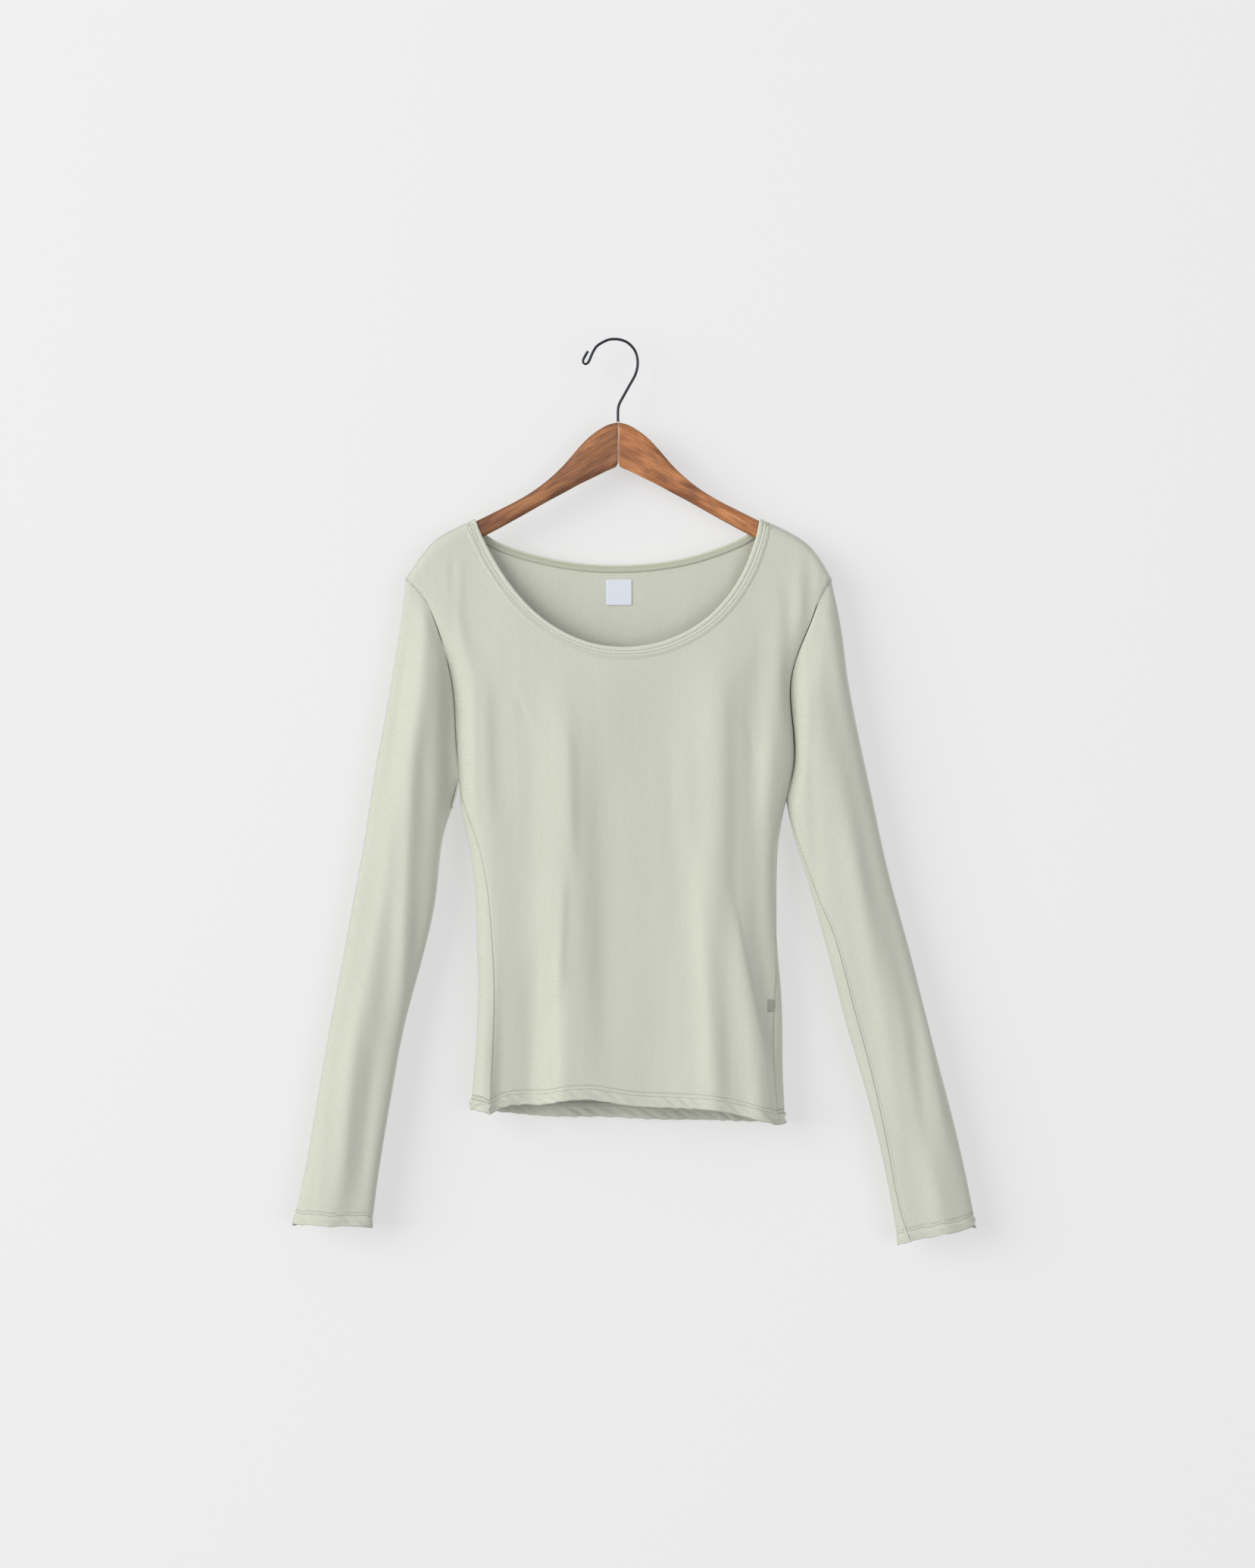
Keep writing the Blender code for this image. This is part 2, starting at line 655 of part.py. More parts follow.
def sleeve(panels, side, table, cuff, folds, recess):
    """A sleeve's points and ways in: rings from the armhole to the cuff, between its outer and inner edges.

    Its first ring and the panels' edges share the way in, halfway between both cloths' own.
    """
    ring = armhole_ring(panels, side)
    start = np.array([panel[0][j, i] for panel, j, i in ring])
    start[0][1] = 0.0
    around = len(start)
    half = around // 2
    armpit = start[half][2]

    def base(share, i):
        across = (start[0][2] - start[i][2]) / (start[0][2] - armpit)
        z_out = start[0][2] + (cuff[0] - start[0][2]) * share
        z_in = armpit + (cuff[1] - armpit) * share
        x_out, x_in = along(table, 1, z_out), along(table, 2, z_in)
        z = z_out + (z_in - z_out) * across
        is_back = i > half
        depth = along(table, 4 if is_back else 3, z)
        for _, top, bottom, at_top, at_bottom, width, lift_front, lift_back in folds:
            reach = min(max((share - top) / (bottom - top), 0.0), 1.0)
            fade = smooth(share, top - 0.05, top + 0.1) * (1.0 - smooth(share, bottom - 0.05, bottom + 0.12))
            middle = at_top + (at_bottom - at_top) * reach
            lift = lift_back if is_back else lift_front
            depth += fade * lift * math.exp(-(((across - middle) / width) ** 2))
        depth *= max(1.0 - abs(2.0 * across - 1.0) ** 2.6, 0.0) ** 0.5
        return np.array([x_out + (x_in - x_out) * across, depth if is_back else -depth, z])

    def sunk(x, z):
        edge, soft, top, bottom, depth = recess
        inside = smooth((edge - x) * side, -soft, soft)
        return depth * inside * smooth(-z, -top, -top + 40.0) * (1.0 - smooth(-z, -bottom - 50.0, -bottom))

    shares = [0.0, *SLEEVE_ROWS, 1.0 - HEM_DEPTH / 647.0, 1.0]
    outside = []
    for share in shares:
        level = []
        for i in range(around):
            keep = max(1.0 - share / ARMHOLE_REACH, 0.0) ** 2
            keep_depth = max(1.0 - share / DEPTH_REACH, 0.0) ** 2
            point, first = base(share, i), base(0.0, i)
            point[0] += keep * (start[i][0] - first[0])
            if i < half:
                point[1] += sunk(point[0], point[2])
            point[1] += keep_depth * (start[i][1] - point[1])
            level.append(point)
        outside.append(level)
    outside = np.array(outside)
    inward = np.zeros_like(outside)
    for j in range(len(shares)):
        above, below = max(j - 1, 0), min(j + 1, len(shares) - 1)
        for i in range(around):
            down = outside[below, i] - outside[above, i]
            round_it = outside[j, (i + 1) % around] - outside[j, i - 1]
            way = np.cross(down, round_it) * side
            inward[j, i] = way / np.linalg.norm(way)
    up = np.array([-0.5 * side, 0.0, 0.85])
    for i, (panel, j, column) in enumerate(ring):
        way = inward[0, i] + panel[1][j, column]
        if j == 0:
            way = panel[1][j, column].copy()
        way /= np.linalg.norm(way)
        near_armpit = smooth(j, ARM_ROWS - 4, ARM_ROWS)
        way = way * (1.0 - near_armpit) + up * near_armpit
        way /= np.linalg.norm(way)
        seam = start[(i + 1) % around] - start[i - 1]
        across = np.cross(seam, way) * side
        across /= np.linalg.norm(across)
        if j == ARM_ROWS:
            across = np.array([0.85 * side, 0.0, -0.5])
            panels[1][1][j, column] = way
        if j == 0:
            panels[1][1][j, column] = way
        panel[1][j, column] = way
        inward[0, i] = way
        outside[0, i] = start[i] + across * CURVED_GAP
    return outside, inward


def neck_band(name, front, back):
    """The band round the neck: a strip with two ridges, along the seams of both panels."""
    first = len(SHOULDER_SHARES)
    rings = []
    for (outside, inward), width, backwards in ((front, BAND_FRONT, False), (back, BAND_BACK, True)):
        last = outside.shape[1] - first
        seam = outside[0, first:last]
        ways = inward[0, first:last]
        stretch = []
        for k, (point, way_in) in enumerate(zip(seam, ways)):
            tangent = seam[min(k + 1, len(seam) - 1)] - seam[max(k - 1, 0)]
            towards = np.cross(tangent, way_in) * (-1.0 if backwards else 1.0)
            towards /= np.linalg.norm(towards)
            stretch.append((point, way_in, towards, width))
        rings += stretch[::-1][1:-1] if backwards else stretch
    outside = []
    for point, way_in, towards, width in rings:
        profile = (  # share of the width, height over the seam
            (0.0, 0.1),
            (0.16, 0.7),
            (0.34, 0.7),
            (0.5, 0.15),
            (0.66, 0.7),
            (0.86, 0.7),
            (1.0, -0.3),
            (1.0, -1.2),
            (0.6, -1.6),
            (0.0, -1.5),
        )
        outside.append(
            [point + towards * (NECK_GAP + width * share) - way_in * height for share, height in profile]
        )
    ring_object(name, outside, "band")


def ring_object(name, rings, finish):
    """A closed loop of closed sections."""
    mesh_data = bmesh.new()
    loops = [[mesh_data.verts.new(point * MM) for point in ring] for ring in rings]
    for j, loop in enumerate(loops):
        after = loops[(j + 1) % len(loops)]
        for i in range(len(loop)):
            k = (i + 1) % len(loop)
            mesh_data.faces.new((loop[i], after[i], after[k], loop[k]))
    bmesh.ops.recalc_face_normals(mesh_data, faces=mesh_data.faces)
    mesh_object(name, mesh_data, finish)


def patch(name, corners, turn_and_height, lift, finish):
    """A small flat piece laid on the body: its grid takes the body's points, moved out by a lift."""
    columns, rows = corners
    outside = np.zeros((rows, columns, 3))
    inward = np.zeros((rows, columns, 3))
    for j in range(rows):
        for i in range(columns):
            turn, z = turn_and_height(i / (columns - 1), j / (rows - 1))
            away = outward(turn, z)
            outside[j, i] = body_point(turn, z) + away * lift
            inward[j, i] = away
    wall_object(name, outside, inward, [PATCH_WALL] * rows, False, finish)


def neck_label():
    x_middle, z_middle = LABEL_CENTRE

    def place(u, v):
        z = z_middle + LABEL_SIDE * (0.5 - v)
        return 2.0 - across_to_turn(x_middle + LABEL_SIDE * (u - 0.5), z), z

    patch("neck_label", (5, 5), place, -WALL - SEAM_GAP - PATCH_WALL, "label")


def side_tag():
    width, height = TAG_SIZE

    def place(u, v):
        z = TAG_HEIGHT + height * (0.5 - v)
        middle, half = body_frame(z)
        seam = middle + half - along(SEAM_RIGHT, 1, z)
        return across_to_turn(seam - 1.0 - width * (1.0 - u), z), z

    patch("side_tag", (4, 4), place, 0.9, "tag")


def hanger_arm(name, side):
    """One arm of the hanger: rounded upright sections, from the joint in the middle to the round end."""
    sides = 16
    mesh_data = bmesh.new()
    loops = []
    for distance, bottom, top in HANGER_ARM:
        middle, tall = (bottom + top) / 2.0, (top - bottom) / 2.0
        end = smooth(distance, 176.0, 190.0)
        deep = HANGER_DEPTH / 2.0 * (1.0 - 0.55 * end)
        loop = []
        for i in range(sides):
            angle = 2.0 * math.pi * i / sides
            bulge = 2.0 / 2.6
            y = deep * math.copysign(abs(math.cos(angle)) ** bulge, math.cos(angle))
            z = middle + tall * math.copysign(abs(math.sin(angle)) ** bulge, math.sin(angle))
            loop.append(mesh_data.verts.new((side * distance * MM, y * MM, z * MM)))
        loops.append(loop)
    for loop, after in zip(loops, loops[1:]):
        for i in range(sides):
            k = (i + 1) % sides
            mesh_data.faces.new((loop[i], loop[k], after[k], after[i]))
    mesh_data.faces.new(loops[0])
    mesh_data.faces.new(loops[-1])
    bmesh.ops.recalc_face_normals(mesh_data, faces=mesh_data.faces)
    mesh_object(name, mesh_data, "wood")


def hook():
    """The wire hook: one bent wire."""
    points = route(HOOK, np.arange(0.0, length_of(HOOK), 3.4))
    curve = bpy.data.curves.new("hook", "CURVE")
    curve.dimensions = "3D"
    curve.bevel_depth = WIRE_DIAMETER / 2.0 * MM
    curve.bevel_resolution = 2
    curve.use_fill_caps = True
    spline = curve.splines.new("POLY")
    spline.points.add(len(points) - 1)
    for knot, (x, z) in zip(spline.points, points):
        knot.co = (x * MM, 0.0, z * MM, 1.0)
    curve.materials.append(material("hook", "wire"))
    collection.objects.link(bpy.data.objects.new("hook", curve))


for existing in list(bpy.data.objects):
    bpy.data.objects.remove(existing, do_unlink=True)
collection = bpy.data.collections.new("jersey_top")
bpy.context.scene.collection.children.link(collection)

panels = [panel_points(False), panel_points(True)]
sleeves = [
    sleeve(panels, -1.0, SLEEVE_LEFT, CUFF_LEFT, SLEEVE_FOLDS_LEFT, RECESS_LEFT),
    sleeve(panels, 1.0, SLEEVE_RIGHT, CUFF_RIGHT, SLEEVE_FOLDS_RIGHT, RECESS_RIGHT),
]
cloth = zip(("front_panel", "back_panel", "sleeve_left", "sleeve_right"), panels + sleeves)
for name, (points, ways_in) in cloth:
    wall_object(name, points, ways_in, cloth_thickness(len(points)), name.startswith("sleeve"), "jersey")
neck_band("neck_band", *panels)
neck_label()
side_tag()
hanger_arm("hanger_arm_left", -1.0)
hanger_arm("hanger_arm_right", 1.0)
hook()
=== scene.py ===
# A long-sleeved jersey top hung flat on a wooden hanger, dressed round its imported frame.
# The front faces -Y and +Z is up. Settings are in millimetres where a name ends in Mm,
# meshes are in metres.
import json
import math

import bmesh
import bpy
from mathutils import Matrix, Vector, noise
from mathutils.bvhtree import BVHTree
from mathutils.kdtree import KDTree

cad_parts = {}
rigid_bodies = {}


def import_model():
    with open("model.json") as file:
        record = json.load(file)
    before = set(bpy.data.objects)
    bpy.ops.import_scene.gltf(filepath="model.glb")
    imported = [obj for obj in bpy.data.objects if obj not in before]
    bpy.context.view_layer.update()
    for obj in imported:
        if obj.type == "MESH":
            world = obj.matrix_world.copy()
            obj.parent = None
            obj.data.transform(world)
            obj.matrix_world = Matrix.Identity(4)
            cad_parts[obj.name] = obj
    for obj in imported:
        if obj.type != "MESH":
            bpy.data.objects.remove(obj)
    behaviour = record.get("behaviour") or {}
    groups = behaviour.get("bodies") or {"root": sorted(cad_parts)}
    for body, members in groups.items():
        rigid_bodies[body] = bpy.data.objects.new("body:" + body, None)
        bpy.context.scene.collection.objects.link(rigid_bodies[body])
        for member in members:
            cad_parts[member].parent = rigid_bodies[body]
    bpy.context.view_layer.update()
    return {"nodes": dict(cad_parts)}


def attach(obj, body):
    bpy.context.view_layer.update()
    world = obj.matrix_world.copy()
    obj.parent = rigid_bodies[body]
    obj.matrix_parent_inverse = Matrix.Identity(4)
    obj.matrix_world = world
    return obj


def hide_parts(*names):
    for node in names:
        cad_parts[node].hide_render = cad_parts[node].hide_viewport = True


for leftover in list(bpy.data.objects):
    bpy.data.objects.remove(leftover, do_unlink=True)

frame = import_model()
scene = bpy.context.scene
mm = 0.001
photo = {"millimetresPerPixel": 0.76, "width": 1657, "height": 2071, "originX": 816, "originY": 450}
print("frame loaded:", len(frame["nodes"]), "nodes")


# Small helpers


def linear(hexColour):
    channels = [int(hexColour[i : i + 2], 16) / 255 for i in (1, 3, 5)]
    curve = [c / 12.92 if c <= 0.04045 else ((c + 0.055) / 1.055) ** 2.4 for c in channels]
    return (*curve, 1.0)


def tinted(hexColour, tint):
    return (*(channel * tint for channel in linear(hexColour)[:3]), 1.0)


def waveScale(period):
    # A wave texture repeats every 2 pi / 20 of its scale
    return math.pi / 10 / period


def addNode(tree, kind, settings=None, links=None):
    node = tree.nodes.new(kind)
    for name, value in (settings or {}).items():
        if isinstance(name, int) or name in node.inputs:
            node.inputs[name].default_value = value
        else:
            setattr(node, name, value)
    for name, socket in (links or {}).items():
        tree.links.new(socket, node.inputs[name])
    return node


def newMaterial(name):
    material = bpy.data.materials.new(name)
    material.use_nodes = True
    tree = material.node_tree
    return material, tree, tree.nodes["Principled BSDF"]


def ease(value, start, end):
    share = min(max((value - start) / (end - start), 0.0), 1.0)
    return share * share * (3 - 2 * share)


def toMesh(name, bm):
    mesh = bpy.data.meshes.new(name)
    bm.to_mesh(mesh)
    bm.free()
    return mesh


def showPiece(name, bm, material, slot, *nodes):
    # Puts a finished mesh in the scene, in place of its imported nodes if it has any
    mesh = toMesh(name, bm)
    piece = bpy.data.objects.new(name.replace(" ", "_"), mesh)
    scene.collection.objects.link(piece)
    mesh.materials.append(material)
    mesh.shade_smooth()
    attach(piece, "root")
    if nodes:
        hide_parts(*nodes)
    return piece


def addStrip(bm, above, below):
    # The faces between two rows of points
    for k in range(len(above) - 1):
        bm.faces.new((above[k], above[k + 1], below[k + 1], below[k]))


# Finishes

jerseyFinish = {
    "base": "#c2c4b6",
    "light": "#c5c7ba",
    "shade": "#bfc1b2",
    "waleMm": 1.0,
    "streakMm": (4.0, 70.0),
    "mottleMm": 1.7,
    "fuzzMm": 0.7,
}


def jerseyMaterial(name, finish, tint=1.0):
    # Combed cotton jersey, piece-dyed: dull, with a soft halo of fibre at grazing angles,
    # fine wales down the cloth and faint streaks where the yarn is thicker
    material, tree, shader = newMaterial(name)
    uv = addNode(tree, "ShaderNodeUVMap", {"uv_map": "cloth"}).outputs["UV"]
    across, down = finish["streakMm"]
    streakPlace = addNode(
        tree, "ShaderNodeMapping", {"Scale": (1 / across, 1 / down, 1)}, {"Vector": uv}
    ).outputs["Vector"]
    streaks = addNode(
        tree,
        "ShaderNodeTexNoise",
        {"Scale": 1.0, "Detail": 3.0, "Roughness": 0.6},
        {"Vector": streakPlace},
    ).outputs["Fac"]
    mottle = addNode(
        tree, "ShaderNodeTexNoise", {"Scale": 1 / finish["mottleMm"], "Detail": 4.0}, {"Vector": uv}
    ).outputs["Fac"]
    fuzz = addNode(
        tree, "ShaderNodeTexNoise", {"Scale": 1 / finish["fuzzMm"], "Detail": 2.0}, {"Vector": uv}
    ).outputs["Fac"]
    waleScale = waveScale(finish["waleMm"])
    wales = addNode(
        tree,
        "ShaderNodeTexWave",
        {"bands_direction": "X", "Scale": waleScale, "Distortion": 0.6, "Detail": 1.0},
        {"Vector": uv},
    ).outputs["Fac"]
    blend = addNode(
        tree, "ShaderNodeMix", {"Factor": 0.75}, {"A": streaks, "B": mottle}
    ).outputs["Result"]
    ramp = addNode(tree, "ShaderNodeValToRGB", links={"Fac": blend})
    ramp.color_ramp.elements[0].position = 0.38
    ramp.color_ramp.elements[0].color = tinted(finish["shade"], tint)
    ramp.color_ramp.elements[1].position = 0.62
    ramp.color_ramp.elements[1].color = tinted(finish["light"], tint)
    ramp.color_ramp.elements.new(0.5).color = tinted(finish["base"], tint)
    tree.links.new(ramp.outputs["Color"], shader.inputs["Base Color"])
    height = addNode(
        tree, "ShaderNodeMath", {"operation": "MULTIPLY_ADD", 1: 0.3}, {0: wales, 2: fuzz}
    ).outputs[0]
    height = addNode(
        tree, "ShaderNodeMath", {"operation": "MULTIPLY_ADD", 1: 0.15}, {0: streaks, 2: height}
    ).outputs[0]
    bump = addNode(
        tree, "ShaderNodeBump", {"Strength": 0.35, "Distance": 0.00025}, {"Height": height}
    ).outputs["Normal"]
    tree.links.new(bump, shader.inputs["Normal"])
    shader.inputs["Roughness"].default_value = 0.8
    shader.inputs["Specular IOR Level"].default_value = 0.5
    shader.inputs["Sheen Weight"].default_value = 0.35
    shader.inputs["Sheen Roughness"].default_value = 0.45
    # Thin cotton lets light through, which keeps narrow folds and seams from going black
    shader.inputs["Subsurface Weight"].default_value = 0.3
    shader.inputs["Subsurface Scale"].default_value = 0.0012
    shader.inputs["Subsurface Radius"].default_value = (1.0, 1.0, 0.85)
    return material


def threadMaterial(name, hexColour):
    # Spun polyester sewing thread: a little glossier than the cloth, with its twist as bump
    material, tree, shader = newMaterial(name)
    place = addNode(tree, "ShaderNodeTexCoord").outputs["Object"]
    twist = addNode(
        tree, "ShaderNodeTexNoise", {"Scale": 900.0, "Detail": 2.0}, {"Vector": place}
    ).outputs["Fac"]
    ramp = addNode(tree, "ShaderNodeValToRGB", links={"Fac": twist})
    ramp.color_ramp.elements[0].color = tinted(hexColour, 0.9)
    ramp.color_ramp.elements[1].color = linear(hexColour)
    tree.links.new(ramp.outputs["Color"], shader.inputs["Base Color"])
    bump = addNode(tree, "ShaderNodeBump", {"Strength": 0.4, "Distance": 0.0001}, {"Height": twist})
    tree.links.new(bump.outputs["Normal"], shader.inputs["Normal"])
    shader.inputs["Roughness"].default_value = 0.6
    return material


jersey = jerseyMaterial("combed cotton jersey", jerseyFinish)
binding = jerseyMaterial("folded jersey binding", jerseyFinish, 1.07)
threadColours = {"seam": "#959987", "overlock": "#b0b5a0", "needle": "#c9ccbd"}
thread = threadMaterial("spun polyester thread", threadColours["seam"])
threadDark = threadMaterial("overlock thread", threadColours["overlock"])
threadLight = threadMaterial("overlock needle thread", threadColours["needle"])


# Cloth: one skin of each packed wall, refined, sculpted and given its thickness

skin = {"mergeMm": 0.001, "rimDegrees": 38.0, "sharpDegrees": 80.0, "narrowMm": 1.35}


def mergedQuads(node):
    bm = bmesh.new()
    bm.from_mesh(frame["nodes"][node].data)
    bmesh.ops.remove_doubles(bm, verts=bm.verts, dist=skin["mergeMm"] * mm)
    bmesh.ops.join_triangles(
        bm,
        faces=bm.faces,
        angle_face_threshold=math.pi,
        angle_shape_threshold=math.pi,
        topology_influence=1.6,
    )
    return bm


def outerSkin(node):
    # The widest run of faces that no sharp rim crosses is the outside of the cloth
    bm = mergedQuads(node)
    waiting = set(bm.faces)
    widest, widestArea = set(), 0.0
    while waiting:
        stack = [waiting.pop()]
        found = set(stack)
        while stack:
            for edge in stack.pop().edges:
                if edge.calc_face_angle(0.0) < math.radians(skin["rimDegrees"]):
                    near = [face for face in edge.link_faces if face in waiting]
                    waiting.difference_update(near)
                    found.update(near)
                    stack.extend(near)
        area = sum(face.calc_area() for face in found)
        if area > widestArea:
            widest, widestArea = found, area
    rest = [face for face in bm.faces if face not in widest]
    bmesh.ops.delete(bm, geom=rest, context="FACES")
    # A few faces of the rim, as narrow as the wall is thick, come along where it turns softly
    rim = [
        face
        for face in bm.faces
        if min(edge.calc_length() for edge in face.edges) < skin["narrowMm"] * mm
        and max(edge.calc_face_angle(0.0) for edge in face.edges) > math.radians(skin["sharpDegrees"])
    ]
    bmesh.ops.delete(bm, geom=rim, context="FACES")
    return bm


def refined(name, bm, levels):
    # The same form on a finer mesh, with its edges and corners kept where they are
    stand = bpy.data.objects.new(name, toMesh(name, bm))
    scene.collection.objects.link(stand)
    rounding = stand.modifiers.new("rounding", "SUBSURF")
    rounding.levels = rounding.render_levels = levels
    rounding.boundary_smooth = "PRESERVE_CORNERS"
    bpy.context.view_layer.update()
    shown = stand.evaluated_get(bpy.context.evaluated_depsgraph_get())
    fine = bmesh.new()
    fine.from_mesh(shown.to_mesh())
    shown.to_mesh_clear()
    bpy.data.objects.remove(stand, do_unlink=True)
    return fine


def borderLoops(bm):
    # The open edges as ordered rounds of vertices
    waiting = dict.fromkeys(edge for edge in bm.edges if edge.is_boundary)
    loops = []
    while waiting:
        edge = next(iter(waiting))
        del waiting[edge]
        loop = [edge.verts[0], edge.verts[1]]
        while loop[-1] is not loop[0]:
            step = [e for e in loop[-1].link_edges if e in waiting]
            if not step:
                break
            del waiting[step[0]]
            loop.append(step[0].other_vert(loop[-1]))
        loops.append(loop[:-1] if loop[-1] is loop[0] else loop)
    return loops


def runOf(loop, wanted):
    # The longest run of a round whose vertices are wanted
    marks = [wanted(loop, i) for i in range(len(loop))]
    if all(marks):
        return loop + loop[:1]
    start = marks.index(False)
    best, run = [], []
    for i in range(len(loop) + 1):
        k = (start + i) % len(loop)
        if marks[k] and i < len(loop):
            run.append(loop[k])
        else:
            best = max(best, run, key=len)
            run = []
    return best


def inOrder(run):
    # The same way each time: from the left, and on a round over the front first
    if len(run) < 3:
        return run
    if run[0] is not run[-1]:
        return run if run[0].co.x < run[-1].co.x else run[::-1]
    ring = run[:-1]
    start = min(range(len(ring)), key=lambda i: ring[i].co.x)
    ring = ring[start:] + ring[:start]
    if ring[1].co.y > ring[-1].co.y:
        ring = ring[:1] + ring[:0:-1]
    return ring + ring[:1]


# Where the open edges are: heights, and half the neck's width
edgesAt = {"hemMm": -745.0, "cuffMm": -860.0, "neckMm": -340.0, "neckHalfMm": 151.5}


def isHem(loop, i):
    tangent = loop[(i + 1) % len(loop)].co - loop[i - 1].co
    return loop[i].co.z < edgesAt["hemMm"] * mm and abs(tangent.z) < abs(tangent.x)


def isCuff(loop, i):
    return loop[i].co.z < edgesAt["cuffMm"] * mm


def isNeck(loop, i):
    place = loop[i].co
    return abs(place.x) < edgesAt["neckHalfMm"] * mm and place.z > edgesAt["neckMm"] * mm


def placesOf(run):
    return [vert.co.copy() for vert in run]


def tracker(points):
    # Tells how far along a line of points a place is, and how far from it
    tree = KDTree(len(points))
    travelled = [0.0]
    for a, b in zip(points, points[1:]):
        travelled.append(travelled[-1] + (b - a).length)
    for i, point in enumerate(points):
        tree.insert(point, i)
    tree.balance()

    def measure(place):
        _, i, away = tree.find(place)
        return travelled[i], away

    return measure


def reachSeams(bm, hemSet, reachMm):
    # Sewn edges run on over the gap that the frame leaves, so no light comes through
    bm.normal_update()
    moves = {}
    for edge in bm.edges:
        if not edge.is_boundary or (edge.verts[0] in hemSet and edge.verts[1] in hemSet):
            continue
        face = edge.link_faces[0]
        along = (edge.verts[1].co - edge.verts[0].co).normalized()
        out = along.cross(face.normal)
        if out.dot(face.calc_center_median() - edge.verts[0].co) > 0:
            out = -out
        for vert in edge.verts:
            moves[vert] = moves.get(vert, Vector()) + out
    for vert, out in moves.items():
        if out.length > 0.3:
            vert.co += out.normalized() * reachMm * mm


def creaseLift(creases, x, z):
    # Soft ridges, or troughs where the lift is below 0, along straight lines with uneven sides
    lift = 0.0
    for _, xTop, zTop, xLow, zLow, leftWidth, rightWidth, height in creases:
        dx, dz = xLow - xTop, zLow - zTop
        length = math.hypot(dx, dz)
        along = ((x - xTop) * dx + (z - zTop) * dz) / (length * length)
        if not -0.25 < along < 1.25:
            continue
        aside = ((x - xTop) * -dz + (z - zTop) * dx) / length
        width = rightWidth if aside > 0 else leftWidth
        fade = ease(along, -0.25, 0.25) * (1 - ease(along, 0.75, 1.25))
        lift += height * fade * math.exp(-((aside / width) ** 2))
    return lift


def layUv(bm, tilt):
    # Flat cloth coordinates in millimetres: across the wales and down them. Depth counts as
    # width, so the pattern goes on round the sides
    layer = bm.loops.layers.uv.new("cloth")
    turn = math.radians(tilt)
    for face in bm.faces:
        for corner in face.loops:
            x, y, z = corner.vert.co
            u, v = (x + y) / mm, z / mm
            corner[layer].uv = (
                u * math.cos(turn) - v * math.sin(turn),
                u * math.sin(turn) + v * math.cos(turn),
            )


# Between the creases the knit wavers, in long slow swells and short quick ones: across, down, lift
waver = {"slowMm": (38.0, 230.0, 1.0), "quickMm": (15.0, 110.0, 0.22)}
relief = {
    "calmMm": 14.0,  # creases fade out so close to a seam
    "hemReachMm": 22.0,
    "seamWidthMm": 2.4,
    "rowWidthMm": 1.9,
    "rowDipMm": 0.75,
    "hemProudMm": 0.5,
    "scallopMm": 9.0,
    "scallopReachMm": 15.0,
    "wanderMm": 45.0,  # over such a length the ripples' spacing drifts
    "swayMm": 30.0,  # and over such a length their strength comes and goes
}


def sculpt(bm, piece, hemRun, seamRuns):
    # Moves the skin out and in along its own normals for creases, swells, hem and seams
    bm.normal_update()
    normals = {vert: vert.normal.copy() for vert in bm.verts}
    hemAt = tracker(placesOf(hemRun))
    seams = [tracker(placesOf(run)) for run in seamRuns if len(run) > 1]
    seed = piece["seed"]
    slowAcross, slowDown, slowLift = waver["slowMm"]
    quickAcross, quickDown, quickLift = waver["quickMm"]
    for vert in bm.verts:
        place, normal = vert.co.copy(), normals[vert]
        x, z = place.x / mm, place.z / mm
        facing = -1.0 if normal.y < 0 else 1.0
        creases = piece["frontCreases"] if facing < 0 else piece["backCreases"]
        flat = ease(abs(normal.y), 0.15, 0.75)
        swell = noise.noise(Vector((x / slowAcross + seed, z / slowDown, facing))) * slowLift
        swell += noise.noise(Vector((x / quickAcross, z / quickDown + seed, facing * 3))) * quickLift
        seamAway = min([seam(place)[1] / mm for seam in seams], default=relief["calmMm"])
        calm = ease(seamAway, 0.0, relief["calmMm"])
        lift = (creaseLift(creases, x, z) + swell) * calm * flat
        run, away = hemAt(place)
        run, away = run / mm, away / mm
        if away < relief["hemReachMm"]:
            lift += hemLift(piece["hem"], run, away, seed)
        if facing < 0:
            # The front of a cuff rides up a little and lets the back's inside show
            scallop = 0.75 + 0.5 * noise.noise(Vector((run / relief["scallopMm"], seed, 4.5)))
            near = ease(away, relief["scallopReachMm"], 0.0)
            place.z += piece["hem"]["riseMm"] * scallop * flat * near * mm
        lift -= piece["seamSinkMm"] * math.exp(-((seamAway / relief["seamWidthMm"]) ** 2))
        vert.co = place + normal * lift * mm


def hemLift(hem, run, away, seed):
    # A turned-up hem stands a little proud, dips at its two rows of stitches and ropes into
    # slanting ripples under them
    depth = hem["depthMm"]
    stitched = math.exp(-(((away - depth) / relief["rowWidthMm"]) ** 2))
    wander = noise.noise(Vector((run / relief["wanderMm"], seed, 0.5)))
    strength = 0.65 + 0.9 * noise.noise(Vector((run / relief["swayMm"], seed + 7, 1.5)))
    phase = 2 * math.pi * (run / hem["rippleMm"] + wander * 0.9 + hem["slant"] * away / depth)
    within = ease(away, depth, depth * 0.55) * (0.55 + 0.45 * ease(away, 0.0, 4.0))
    proud = relief["hemProudMm"] * ease(away, depth + 1.0, depth - 3.0)
    ripple = hem["rippleLiftMm"] * strength * math.sin(phase) * within
    return proud + ripple - relief["rowDipMm"] * stitched


def drawTogether(bm, mends):
    # Crowded corners of the frame's wall become one corner each, so the cloth turns there
    # without a kink
    for left, right, low, high, *corner in mends:
        crowd = [
            vert
            for vert in bm.verts
            if left < vert.co.x / mm < right and low < vert.co.z / mm < high and vert.co.y < -5 * mm
        ]
        bmesh.ops.pointmerge(bm, verts=crowd, merge_co=Vector(corner) * mm)
    bmesh.ops.dissolve_degenerate(bm, dist=0.05 * mm, edges=bm.edges)
    return bm


